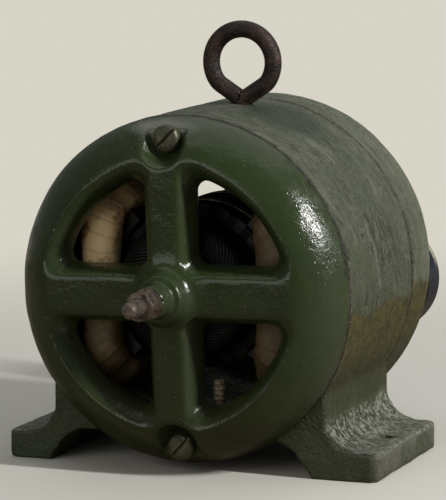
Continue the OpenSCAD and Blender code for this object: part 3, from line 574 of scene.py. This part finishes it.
# Pole shoes: iron blocks bored to the armature's curve, each screwed to its core in the drum.
# They were dipped in black varnish, now dull with dust.
SHOE_BLACK = (0.003, 0.003, 0.003, 1)
SHOE_DUST = (0.010, 0.0075, 0.005, 1)
pole_black, t, shader = new_material("pole_black")
where = object_coords(t)
cloud = grain(t, where, 90.0, 5.0)
colour = wash(t, SHOE_BLACK, SHOE_DUST, rise(t, cloud, 0.4, 0.65))
rough = rise(t, cloud, 0.3, 0.7, 0.45, 0.7)
set_surface(
    t, shader, colour, rough, grain(t, where, 500.0), depth=0.0004, strength=0.6, corner=0.0005
)
for name in ("pole_shoe_left", "pole_shoe_right"):
    dress(name, pole_black)

# Field coils: a saddle of cotton-covered wire, wrapped with half-lapped cotton tape and varnished.
# The laps run round the bundle at a slant; the varnish has gone amber, and the folds are dark with
# pooled varnish and painted shade.
# The lower laps are painted dark brown, part oil and part painted shade, and all of the right coil
# is dark brown with oil.
COIL_MID, COIL_HALF_ANGLE, COIL_REACH, COIL_CORNER = 61.8, 47.0, 44.0, 16.0
COIL_THICK, COIL_WIDE, COIL_ROUNDNESS = 20.0, 18.0, 0.78
COIL_BOW, SHOE_LEN, BORE_R, BORE_GAP = 13.5, 68.0, 72.0, 0.8
BOW_EDGE, BOW_RAMP, BOW_SPAN, BOW_FALL, BOW_BACK = 0.3, 7, 45, 1.3, 0.25
STRAIGHT = 0.18
LAPS, LAP_HEIGHT, LAP_EDGE, LAP_FALL = 40, 0.30, 0.09, 0.85
SAG_LONG, SAG_SHORT, PUCKER, SWELL, TAPE_SUNK = 0.14, 0.10, 0.16, 0.21, 0.45
THREADS_ALONG, THREADS_ROUND = 16, 110
TAPE_PALE = (0.92, 0.69, 0.36, 1)
TAPE_AMBER = (0.30, 0.155, 0.055, 1)
TAPE_FLECK = (0.90, 0.72, 0.44, 1)
WEAVE_DARK = (0.10, 0.05, 0.02, 1)
FOLD_VARNISH_SHADE = (0.030, 0.013, 0.006, 1)
THREAD_DARK = (0.020, 0.010, 0.006, 1)
OIL_AND_SHADE_BROWN = (0.048, 0.029, 0.007, 1)


def coil_line(u):
    half = COIL_MID * math.radians(COIL_HALF_ANGLE)
    quarter, part = int(u * 4) % 4, (u * 4) % 1.0
    along = part if quarter in (0, 2) else 1 - part
    bend = math.radians(90 * min(max((along - STRAIGHT) / (1 - 2 * STRAIGHT), 0), 1))
    lead, tail = min(along / STRAIGHT, 1), max((along - 1 + STRAIGHT) / STRAIGHT, 0)
    s = (half - COIL_CORNER) * (1 - tail) + COIL_CORNER * math.cos(bend)
    y = (COIL_REACH - COIL_CORNER) * lead + COIL_CORNER * math.sin(bend)
    return (s if quarter in (0, 3) else -s), (y if quarter in (0, 1) else -y)


def coil_path(side, rings):
    flat = np.array([coil_line(i / rings) for i in range(rings)])
    for _ in range(6):
        flat = (np.roll(flat, 1, 0) + 2 * flat + np.roll(flat, -1, 0)) / 4
    turn = flat[:, 0] / COIL_MID
    line = np.stack([side * COIL_MID * np.cos(turn), flat[:, 1], COIL_MID * np.sin(turn)], 1)
    steps = np.linalg.norm(np.roll(line, -1, 0) - line, axis=1)
    travelled = np.concatenate([[0], np.cumsum(steps)])
    forward = np.roll(line, -1, 0) - np.roll(line, 1, 0)
    forward /= np.linalg.norm(forward, axis=1)[:, None]
    outward = line * [1, 0, 1]
    outward /= np.linalg.norm(outward, axis=1)[:, None]
    return line, outward, np.cross(forward, outward), travelled[:-1] / travelled[-1]


def slow_wave(away, count, shift=0.0):
    return np.sin(2 * np.pi * away * count + shift)[:, None]


def lapped_relief(away, bend):
    sag = SAG_LONG * slow_wave(away, 9) * np.sin(bend + 0.6)
    sag = sag + SAG_SHORT * slow_wave(away, 23, 1) * np.cos(2 * bend)
    phase = away[:, None] * LAPS - bend / (2 * np.pi) + sag
    part = phase % 1.0
    lap = LAP_HEIGHT * np.clip(part / LAP_EDGE, 0, 1) * (1 - LAP_FALL * part)
    pucker = PUCKER * np.sin(phase * 2 * np.pi * 3 + 4 * np.cos(bend))
    pucker = pucker * np.clip(1 - part * 1.6, 0, 1)
    swell = SWELL * slow_wave(away, 5, 0.4) * np.cos(bend * 2 + 0.9)
    return phase, lap + pucker + swell - TAPE_SUNK


def bowed(points, side):
    x, y, z = points[..., 0], points[..., 1], points[..., 2]
    past = np.clip((np.abs(y) - SHOE_LEN / 2 - BOW_EDGE) / BOW_RAMP, 0, 1)
    past = past * past * (3 - 2 * past)
    bow = COIL_BOW * np.maximum(1 - BOW_FALL * (z / BOW_SPAN) ** 2, -BOW_BACK)
    x = x - side * past * bow
    within = np.minimum(1, (BORE_R - BORE_GAP) / np.hypot(x, z))
    return np.stack([x * within, y, z * within + AXIS * 1000], -1) / 1000


def wrapped_round(step, count):
    return np.where(step > count / 2, -1, 0) + np.where(-step > count / 2, 1, 0)


def tape_uv(mesh, phase):
    rings, sides = phase.shape
    index = np.zeros(len(mesh.loops), int)
    mesh.loops.foreach_get("vertex_index", index)
    ring, column = index // sides, index % sides
    first = np.repeat(np.arange(len(mesh.polygons)) * 4, 4)
    lapped = LAPS * wrapped_round(ring - ring[first], rings)
    turned = wrapped_round(column - column[first], sides)
    corners = np.stack([phase[ring, column] + lapped - turned, column / sides + turned], 1)
    layer = mesh.uv_layers.new(name="tape")
    layer.data.foreach_set("uv", corners.reshape(-1).astype(np.float32))


def taped_coil(name, side, rings=520, sides=44):
    line, outward, across, away = coil_path(side, rings)
    bend = 2 * np.pi * np.arange(sides) / sides
    phase, extra = lapped_relief(away, bend)
    c, s = np.cos(bend), np.sin(bend)
    thick = (COIL_THICK / 2 + extra) * np.sign(c) * np.abs(c) ** COIL_ROUNDNESS
    wide = (COIL_WIDE / 2 + extra) * np.sign(s) * np.abs(s) ** COIL_ROUNDNESS
    points = line[:, None] + outward[:, None] * thick[..., None]
    points = bowed(points + across[:, None] * wide[..., None], side)
    i, j = np.meshgrid(np.arange(rings), np.arange(sides), indexing="ij")
    after, beside = (i + 1) % rings, (j + 1) % sides
    corners = [(i, j), (i, beside), (after, beside), (after, j)]
    faces = np.stack([ring * sides + column for ring, column in corners], -1).reshape(-1, 4)
    if side > 0:
        faces = faces[:, ::-1]
    mesh = bpy.data.meshes.new(name)
    mesh.from_pydata(points.reshape(-1, 3).tolist(), [], faces.tolist())
    work = bmesh.new()
    work.from_mesh(mesh)
    bmesh.ops.recalc_face_normals(work, faces=work.faces)
    work.to_mesh(mesh)
    work.free()
    tape_uv(mesh, phase)
    smooth_all(mesh)
    return add_piece(name, mesh)


tape, t, shader = new_material("varnished_tape")
uv = split(t, put(t, "UVMap", uv_map="tape").outputs[0])
where = object_coords(t)
at = split(t, where)
part = calc(t, "FRACT", uv["X"])
cloud = grain(t, where, 75.0, 5.0)
fleck = grain(t, where, 420.0, 4.0, 0.7)
warp = calc(t, "SINE", times(t, uv["X"], 2 * math.pi * THREADS_ALONG))
weft = calc(t, "SINE", times(t, uv["Y"], 2 * math.pi * THREADS_ROUND))
weave = times(t, warp, weft)
colour = wash(t, TAPE_PALE, TAPE_AMBER, rise(t, cloud, 0.46, 0.64))
colour = wash(t, colour, TAPE_FLECK, rise(t, fleck, 0.52, 0.64, 0.0, 0.75))
colour = wash(t, colour, WEAVE_DARK, rise(t, weave, -0.2, 0.9, 0.0, 0.16))
# Pooled varnish and painted shade darken the crease at each lap's step.
fold_varnish_shade = most(t, rise(t, part, 0.055, 0.0), times(t, rise(t, part, 0.86, 1.0), 0.30))
colour = wash(t, colour, FOLD_VARNISH_SHADE, fold_varnish_shade, 0.55)
run = stretch(t, where, (60.0, 40.0, 420.0), (0.5, 0.3, 0.2))
thread = rise(t, apart(t, grain(t, run, 1.0, 2.0)), 0.010, 0.0)
thread = times(t, thread, rise(t, cloud, 0.48, 0.56))
colour = wash(t, colour, THREAD_DARK, thread, 0.7)
# Darker low down: painted shade together with oil; the right coil is painted dark brown all over.
oil_and_shade = rise(t, plus(t, at["Z"], times(t, cloud, 0.02)), 0.108, 0.080)
oil_and_shade = most(t, oil_and_shade, rise(t, at["X"], 0.0, 0.045))
colour = wash(t, colour, OIL_AND_SHADE_BROWN, oil_and_shade, 0.90)
rough = rise(t, cloud, 0.3, 0.7, 0.42, 0.68)
height = plus(t, times(t, weave, 0.10), times(t, fleck, 0.5))
set_surface(
    t,
    shader,
    colour,
    rough,
    height,
    depth=0.0004,
    strength=0.8,
    Coat_Weight=0.15,
    Coat_Roughness=0.35,
)
for name, side in (("left", -1), ("right", 1)):
    coil = taped_coil("taped_coil_" + name, side)
    coil.data.materials.append(tape)
    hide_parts("field_coil_" + name)
    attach(coil, "frame")

# Lead that joins the two coils under the armature, with its splice wrapped in tape.
# The wrapping is grey with dust and mottled where the varnish has flaked.
SPLICE_X, SPLICE_HALF, SPLICE_FRAY, SPLICE_WRAP = 0.0185, 0.0045, 0.0007, 2300.0
SPLICE_BROWN = (0.17, 0.12, 0.07, 1)
SPLICE_DUST = (0.48, 0.43, 0.33, 1)
SPLICE_GROOVE = (0.045, 0.028, 0.016, 1)
LEAD_BROWN = (0.030, 0.018, 0.010, 1)
splice_tape, t, shader = new_material("splice_tape")
where = object_coords(t)
at = split(t, where)
fleck = grain(t, where, 330.0, 4.0, 0.7)
turns = calc(t, "SINE", plus(t, times(t, at["Z"], SPLICE_WRAP), times(t, fleck, 3.0)))
colour = wash(t, SPLICE_BROWN, SPLICE_DUST, rise(t, fleck, 0.38, 0.62))
colour = wash(t, colour, SPLICE_GROOVE, rise(t, turns, 0.4, 1.0, 0.0, 0.6))
from_splice = apart(t, at["X"], SPLICE_X)
wrapped = rise(t, from_splice, SPLICE_HALF + SPLICE_FRAY, SPLICE_HALF - SPLICE_FRAY)
colour = wash(t, LEAD_BROWN, colour, wrapped)
set_surface(
    t, shader, colour, 0.75, plus(t, turns, fleck), depth=0.0003, strength=0.8, corner=0.0005
)
dress("field_link_lead", splice_tape)

# Bearing bushes, bored from bronze bar and pressed into the two hubs.
# Oil has darkened them.
BRONZE = (0.40, 0.235, 0.105, 1)
BRONZE_OIL = (0.05, 0.03, 0.012, 1)
bush_bronze = metal_finish("bush_bronze", BRONZE, BRONZE_OIL, amount=0.6, turning=0.35, rough=0.33)
for name in ("front_bush", "rear_bush"):
    dress(name, bush_bronze)

# Brush gear: a fibre rocker clamped on the rear hub's boss, with folded brass boxes on two arms.
# Each box holds a carbon brush that a coiled spring presses on the commutator.
FIBRE_RED = (0.120, 0.034, 0.018, 1)
FIBRE_DARK = (0.060, 0.018, 0.010, 1)
FIBRE_DUST = (0.10, 0.085, 0.065, 1)
BRASS = (0.52, 0.36, 0.13, 1)
BRASS_BROWN = (0.10, 0.065, 0.02, 1)
WIRE_GREY = (0.36, 0.35, 0.34, 1)
WIRE_BROWN = (0.08, 0.05, 0.03, 1)
CARBON_BLACK = (0.012, 0.012, 0.013, 1)
CARBON_GREY = (0.050, 0.050, 0.052, 1)
fibre, t, shader = new_material("red_fibre")
where = object_coords(t)
streak = grain(t, stretch(t, where, (60.0, 700.0, 60.0)), 1.0)
cloud = grain(t, where, 110.0)
colour = wash(t, FIBRE_RED, FIBRE_DARK, rise(t, streak, 0.35, 0.65))
colour = wash(t, colour, FIBRE_DUST, rise(t, cloud, 0.50, 0.70, 0.0, 0.6))
rough = rise(t, cloud, 0.3, 0.7, 0.45, 0.7)
set_surface(t, shader, colour, rough, streak, depth=0.0002, strength=0.6, corner=0.0004)
for name in ("brush_rocker", "commutator_sleeve", "terminal_base"):
    dress(name, fibre)
brass = metal_finish("aged_brass", BRASS, BRASS_BROWN, amount=0.55, turning=0.15, rough=0.30)
for name in ("brush_box_top", "brush_box_bottom", "terminal_studs", "terminal_cap_screw"):
    dress(name, brass)
spring_wire = metal_finish(
    "spring_wire", WIRE_GREY, WIRE_BROWN, amount=0.4, turning=0.0, rough=0.30, corner=0.0
)
for name, seat in (("top", 1), ("bottom", 0)):
    wound = node["brush_spring_" + name].data.copy()
    merge_doubles(wound)
    smooth_all(wound)
    wound.materials.clear()
    wound.materials.append(spring_wire)
    spring = add_piece("wound_spring_" + name, wound)
    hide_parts("brush_spring_" + name)
    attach(spring, "rocker")
    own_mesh(spring)
carbon, t, shader = new_material("brush_carbon")
speck = grain(t, object_coords(t), 1500.0, 3.0, 0.8)
colour = wash(t, CARBON_BLACK, CARBON_GREY, rise(t, speck, 0.4, 0.7))
set_surface(t, shader, colour, 0.55, speck, depth=0.0001, strength=0.5, corner=0.0003)
for name in ("brush_top", "brush_bottom"):
    dress(name, carbon)

# Terminal housing: a fibre base with two brass studs under a round moulded ebonite cap.
# The cap is blue-black and still polished, browner low down, with a painted highlight: a pale
# strip near its rim.
EBONITE = (0.006, 0.011, 0.022, 1)
EBONITE_PALE = (0.012, 0.020, 0.036, 1)
EBONITE_BROWN = (0.020, 0.018, 0.010, 1)
RIM_HIGHLIGHT = (0.46, 0.42, 0.32, 1)
STRIP_START, STRIP_FULL, STRIP_FADE, STRIP_END = 0.0090, 0.0068, 0.0052, 0.0035
RUBBER = (0.012, 0.012, 0.012, 1)
RUBBER_DUST = (0.035, 0.033, 0.030, 1)
ebonite, t, shader = new_material("ebonite")
where = object_coords(t)
at = split(t, where)
cloud = grain(t, where, 55.0)
speck = grain(t, where, 800.0, 3.0)
colour = wash(t, EBONITE, EBONITE_PALE, rise(t, cloud, 0.38, 0.62))
colour = wash(t, colour, EBONITE_BROWN, rise(t, at["Z"], 0.085, 0.050, 0.0, 0.8))
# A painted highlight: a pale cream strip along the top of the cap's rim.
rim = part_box("terminal_cap")[1].y
rim_highlight = rise(t, at["Y"], rim - STRIP_START, rim - STRIP_FULL)
rim_highlight = times(t, rim_highlight, rise(t, at["Y"], rim - STRIP_END, rim - STRIP_FADE))
rim_highlight = times(t, rim_highlight, rise(t, facing(t)["Z"], 0.15, 0.45), rise(t, cloud, 0.30, 0.45))
colour = wash(t, colour, RIM_HIGHLIGHT, rim_highlight, 0.85)
rough = rise(t, speck, 0.35, 0.7, 0.24, 0.40)
set_surface(
    t,
    shader,
    colour,
    rough,
    speck,
    depth=0.00008,
    strength=0.4,
    corner=0.0006,
    Specular_IOR_Level=0.18,
)
for name in ("terminal_cap", "brush_insulators"):
    dress(name, ebonite)
rubber, t, shader = new_material("lead_rubber")
speck = grain(t, object_coords(t), 900.0)
colour = wash(t, RUBBER, RUBBER_DUST, rise(t, speck, 0.4, 0.65))
set_surface(t, shader, colour, 0.75, speck, depth=0.0001, strength=0.5, corner=0.0004)
dress("lead_bush", rubber)

# Shaft, thrust collar and armature core: turned steel, the core built up from thin stampings.
# The core's edge shows the stampings as fine rings, blackened by varnish and darkened further with
# painted shade inside the motor.
SHAFT_GREY = (0.32, 0.27, 0.235, 1)
SHAFT_BROWN = (0.050, 0.033, 0.025, 1)
# Painted shade: the core's colours are darker than its steel and varnish.
SHADED_CORE_GREY = (0.050, 0.047, 0.044, 1)
SHADED_CORE_BLACK = (0.006, 0.005, 0.005, 1)
shaft_steel = metal_finish(
    "shaft_steel", SHAFT_GREY, SHAFT_BROWN, amount=0.9, turning=0.3, rough=0.24
)
for name in ("shaft", "thrust_collar"):
    dress(name, shaft_steel)
stampings = metal_finish(
    "core_stampings",
    SHADED_CORE_GREY,
    SHADED_CORE_BLACK,
    amount=0.85,
    turning=1.0,
    rough=0.50,
    depth=0.0006,
    corner=0.0002,
    pitch=7800.0,
)
dress("armature_core", stampings)

# Armature winding: coils of cotton-covered wire in the core's slots, which cross at both ends.
# Each end is a mat of strands that lie side by side and sweep round as they close in on the shaft.
STRANDS, STRAND_R, STRAND_SIDES = 72, 0.0016, 7
END_R, HOLLOW_R, MAT_SIDES = 37.0, 0.0075, 96
STRAND_INSET, MAT_INSET = 1.75, 2.3
RADIUS_SHARES = (1.0, 1.0, 0.995, 0.965, 0.86, 0.70, 0.52, 0.40, 0.30)
REACH_SHARES = (0.0, 0.28, 0.58, 0.80, 0.935, 0.97, 0.95, 0.90, 0.84)
SWEEP_DEGREES = (0, 6, 16, 26, 38, 52, 68, 80, 92)
# The varnish colours are far darker than black varnish: painted shade inside the motor, over the
# varnish's own black.
SHADED_VARNISH_BLACK = (0.0018, 0.0018, 0.0021, 1)
SHADED_VARNISH_BROWN = (0.0050, 0.0045, 0.0040, 1)
VARNISH_DUST = (0.050, 0.047, 0.043, 1)
varnish, t, shader = new_material("black_varnish")
where = object_coords(t)
cloud = grain(t, where, 95.0, 5.0)
speck = grain(t, where, 700.0, 4.0, 0.7)
colour = wash(t, SHADED_VARNISH_BLACK, SHADED_VARNISH_BROWN, rise(t, cloud, 0.42, 0.62))
colour = wash(t, colour, VARNISH_DUST, rise(t, speck, 0.60, 0.72, 0.0, 0.4))
rough = rise(t, speck, 0.3, 0.7, 0.30, 0.55)
set_surface(t, shader, colour, rough, speck, depth=0.0002, strength=0.6, Specular_IOR_Level=0.16)


def strand_tree():
    tree = bpy.data.node_groups.new("wound_end", "GeometryNodeTree")
    for label, kind, value in (
        ("Geometry", "Geometry", None),
        ("Strands", "Int", STRANDS),
        ("Strand Radius", "Float", STRAND_R),
        ("Turn", "Float", 2 * math.pi / STRANDS),
        ("Finish", "Material", None),
    ):
        socket_type = "NodeSocket" + kind
        made = tree.interface.new_socket(label, in_out="INPUT", socket_type=socket_type)
        if value is not None:
            made.default_value = value
    tree.interface.new_socket("Geometry", in_out="OUTPUT", socket_type="NodeSocketGeometry")
    given = tree.nodes.new("NodeGroupInput").outputs
    result = tree.nodes.new("NodeGroupOutput").inputs

    def step(kind, inputs=()):
        return feed(tree, tree.nodes.new("GeometryNode" + kind), inputs).outputs[0]

    line = step("MeshToCurve", {"Mesh": given["Geometry"]})
    ring = {"Resolution": STRAND_SIDES, "Radius": given["Strand Radius"]}
    section = step("CurvePrimitiveCircle", ring)
    sweep = {"Curve": line, "Profile Curve": section, "Fill Caps": True}
    tube = step("CurveToMesh", sweep)
    spots = step("MeshLine", {"Count": given["Strands"], "Offset": (0, 0, 0)})
    angle = calc(tree, "MULTIPLY", step("InputIndex"), given["Turn"])
    spin = put(tree, "CombineXYZ", {"Y": angle}).outputs[0]
    placed = step("InstanceOnPoints", {"Points": spots, "Instance": tube, "Rotation": spin})
    smooth = step("SetShadeSmooth", {0: step("RealizeInstances", {0: placed})})
    painted = step("SetMaterial", {"Geometry": smooth, "Material": given["Finish"]})
    tree.links.new(painted, result["Geometry"])
    return tree


wound_end = strand_tree()


def winding_points(reach, start_y, sense, inset, count=46):
    at = np.linspace(0, len(RADIUS_SHARES) - 1, count)
    stops = np.arange(len(RADIUS_SHARES))
    shares = (RADIUS_SHARES, REACH_SHARES, SWEEP_DEGREES)
    r, z, turn = (np.interp(at, stops, share) for share in shares)
    for _ in range(3):
        for row in (r, z, turn):
            row[1:-1] = (row[:-2] + 2 * row[1:-1] + row[2:]) / 4
    y = start_y + sense * (z * reach - np.where(z > 0.5, (z - 0.5) * inset * 2, 0))
    return (r * END_R - inset) / 1000, y / 1000, np.radians(turn)


def wound_piece(name, reach, start_y, sense):
    radius, y, turn = winding_points(reach, start_y, sense, STRAND_INSET)
    spots = [(a * math.cos(c), b, a * math.sin(c)) for a, b, c in zip(radius, y, turn * sense)]
    line = bpy.data.meshes.new(name + "_line")
    line.from_pydata(spots, [(i, i + 1) for i in range(len(spots) - 1)], [])
    guide = add_piece(name + "_guide", line)
    made = guide.modifiers.new("wound_end", "NODES")
    made.node_group = wound_end
    sockets = (item for item in wound_end.interface.items_tree if item.in_out == "INPUT")
    keys = {item.name: item.identifier for item in sockets}
    made[keys["Finish"]] = varnish
    mesh = as_mesh(guide)
    bpy.data.objects.remove(guide)
    work = bmesh.new()
    work.from_mesh(mesh)
    radius, y, _ = winding_points(reach, start_y, sense, MAT_INSET, 24)
    profile = [*zip(radius, y), (HOLLOW_R, y[-1] - sense * 0.001), (HOLLOW_R, y[0])]
    bends = [2 * math.pi * k / MAT_SIDES for k in range(MAT_SIDES)]
    rings = [
        [work.verts.new((a * math.cos(bend), b, a * math.sin(bend))) for bend in bends]
        for a, b in profile
    ]
    for ring, after in zip(rings, rings[1:] + rings[:1]):
        for k in range(MAT_SIDES):
            beside = (k + 1) % MAT_SIDES
            face = work.faces.new((ring[k], ring[beside], after[beside], after[k]))
            face.smooth = True
    bmesh.ops.recalc_face_normals(work, faces=work.faces)
    bmesh.ops.translate(work, vec=(0, 0, AXIS), verts=work.verts)
    work.to_mesh(mesh)
    work.free()
    return add_piece(name, mesh)


core_low, core_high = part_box("armature_core")
front_low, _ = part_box("armature_winding_front")
_, rear_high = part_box("armature_winding_rear")
for name, start, end, sense in (
    ("front", core_low.y, front_low.y, -1),
    ("rear", core_high.y, rear_high.y, 1),
):
    reach = abs(end - start) * 1000
    winding = wound_piece("winding_strands_" + name, reach, start * 1000, sense)
    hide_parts("armature_winding_" + name)
    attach(winding, "rotor")
dress("slot_coils", varnish)

# Binding bands: tinned wire wound side by side over the core to hold the coils in their slots.
# The turns show as fine ridges with solder between them.
TINNED = (0.36, 0.33, 0.27, 1)
TINNED_BROWN = (0.05, 0.035, 0.02, 1)
band_wire = metal_finish(
    "band_wire",
    TINNED,
    TINNED_BROWN,
    amount=0.6,
    turning=1.0,
    rough=0.35,
    depth=0.0009,
    corner=0.0,
    pitch=6300.0,
)
dress("winding_bands", band_wire)

# Commutator: hard copper bars with risers, thin mica between them, on a fibre sleeve.
# Turning marks still show on the copper, which the brushes have browned.
COPPER = (0.52, 0.235, 0.115, 1)
COPPER_BROWN = (0.075, 0.030, 0.015, 1)
MICA_PALE = (0.30, 0.25, 0.17, 1)
MICA_DARK = (0.14, 0.11, 0.07, 1)
copper = metal_finish(
    "commutator_copper",
    COPPER,
    COPPER_BROWN,
    amount=0.6,
    turning=0.6,
    rough=0.27,
    depth=0.0003,
    corner=0.0002,
    pitch=5200.0,
)
dress("commutator_bars", copper)
mica, t, shader = new_material("mica")
speck = grain(t, object_coords(t), 900.0)
colour = wash(t, MICA_PALE, MICA_DARK, rise(t, speck, 0.4, 0.65))
set_surface(t, shader, colour, 0.4, speck, depth=0.0001, strength=0.5)
dress("commutator_mica", mica)

# Belt pulley: turned from grey iron with a crowned rim, held on the shaft by a set screw.
# Turning marks still show on the iron, stained brown by oil.
PULLEY_GREY = (0.165, 0.158, 0.148, 1)
PULLEY_OIL = (0.045, 0.032, 0.022, 1)
pulley_iron = metal_finish(
    "pulley_iron",
    PULLEY_GREY,
    PULLEY_OIL,
    amount=0.55,
    turning=0.6,
    rough=0.36,
    depth=0.0004,
    corner=0.0004,
    pitch=4200.0,
)
dress("pulley", pulley_iron)

# Plain pale floor, soft studio lamps and the camera.
# Away from the part the floor fades into the backdrop's colour, so that no horizon shows.
FLOOR_HALF, FLOOR_BACK = 12, 16
FADE_START, FADE_END = 0.18, 0.85
BEHIND_START, BEHIND_END = 0.2, 1.6
ROOM_STRENGTH = 0.17
BACKDROP = (0.68, 0.66, 0.57, 1)
FLOOR_BOUNCE = (0.24, 0.19, 0.14, 1)
FLOOR_PALE = (0.72, 0.70, 0.64, 1)
ROOM_LIGHT = (0.84, 0.85, 0.82, 1)
floor_mesh = bpy.data.meshes.new("floor")
corners = [(-1, -FLOOR_HALF), (1, -FLOOR_HALF), (1, FLOOR_BACK), (-1, FLOOR_BACK)]
floor_mesh.from_pydata([(side * FLOOR_HALF, y, 0) for side, y in corners], [], [(0, 1, 2, 3)])
floor = add_piece("floor", floor_mesh)
floor_paint, t, shader = new_material("floor_paint")
path = put(t, "LightPath").outputs
where = put(t, "NewGeometry").outputs["Position"]
away = put(t, "VectorMath", {0: where}, operation="LENGTH").outputs["Value"]
behind = rise(t, split(t, where)["Y"], BEHIND_START, BEHIND_END, 0.0, 0.5)
mirrored = times(t, most(t, path["Is Glossy Ray"], path["Is Transmission Ray"]), behind)
seen = most(t, path["Is Camera Ray"], mirrored)
paint = wash(t, FLOOR_BOUNCE, FLOOR_PALE, path["Is Camera Ray"])
feed(t, shader, {"Base Color": paint, "Roughness": 0.85})
backdrop = put(t, "Emission", {"Color": BACKDROP, "Strength": 1.0}).outputs[0]
faded = times(t, seen, rise(t, away, FADE_START, FADE_END))
mixed = put(t, "MixShader", {0: faded, 1: shader.outputs[0], 2: backdrop}).outputs[0]
t.links.new(mixed, t.nodes["Material Output"].inputs["Surface"])
floor_mesh.materials.append(floor_paint)

world = bpy.data.worlds.new("studio")
scene.world = world
world.use_nodes = True
t = world.node_tree
room = {"Color": ROOM_LIGHT, "Strength": ROOM_STRENGTH}
room = feed(t, t.nodes["Background"], room).outputs[0]
wall = put(t, "Background", {"Color": BACKDROP, "Strength": 1.0}).outputs[0]
watched = put(t, "LightPath").outputs["Is Camera Ray"]
mixed = put(t, "MixShader", {0: watched, 1: room, 2: wall}).outputs[0]
t.links.new(mixed, t.nodes["World Output"].inputs["Surface"])


def lamp(name, place, aim, size, watts, colour):
    data = bpy.data.lights.new(name, "AREA")
    data.shape = "RECTANGLE"
    data.size, data.size_y = size
    data.energy = watts
    data.color = colour
    made = add_piece(name, data)
    made.location = place
    made.rotation_mode = "QUATERNION"
    made.rotation_quaternion = (Vector(aim) - Vector(place)).to_track_quat("-Z", "Y")


lamp(
    "window",
    place=(1.42, -0.20, 0.88),
    aim=(0.02, 0, 0.1),
    size=(0.09, 0.34),
    watts=23,
    colour=(1.0, 0.99, 0.96),
)
lamp(
    "sky",
    place=(-0.1, 0.5, 1.9),
    aim=(0, 0, 0.1),
    size=(2.4, 2.4),
    watts=11,
    colour=(0.96, 0.98, 1.0),
)
lamp(
    "bounce",
    place=(-0.8, -1.9, 0.8),
    aim=(0, 0, 0.08),
    size=(1.8, 1.3),
    watts=9,
    colour=(1.0, 0.97, 0.90),
)

AZIMUTH, ELEVATION, ROLL = math.radians(22.40), math.radians(8.25), math.radians(-0.76)
TARGET = Vector((0.0046, -0.008, 0.10908))
DISTANCE, LENS, SENSOR = 1.577, 217.7, 36
reach = math.cos(ELEVATION)
back = Vector((math.sin(AZIMUTH) * reach, -math.cos(AZIMUTH) * reach, math.sin(ELEVATION)))
level = Vector((math.cos(AZIMUTH), math.sin(AZIMUTH), 0))
upright = back.cross(level)
right_hand = level * math.cos(ROLL) + upright * math.sin(ROLL)
overhead = upright * math.cos(ROLL) - level * math.sin(ROLL)
camera_data = bpy.data.cameras.new("camera")
camera_data.sensor_width = SENSOR
camera_data.lens = LENS
camera_data.clip_start, camera_data.clip_end = 0.05, 60
camera = add_piece("camera", camera_data)
placed = Matrix((right_hand, overhead, back)).transposed().to_4x4()
placed.translation = TARGET + back * DISTANCE
camera.matrix_world = placed
scene.camera = camera
scene.view_settings.view_transform = "Standard"
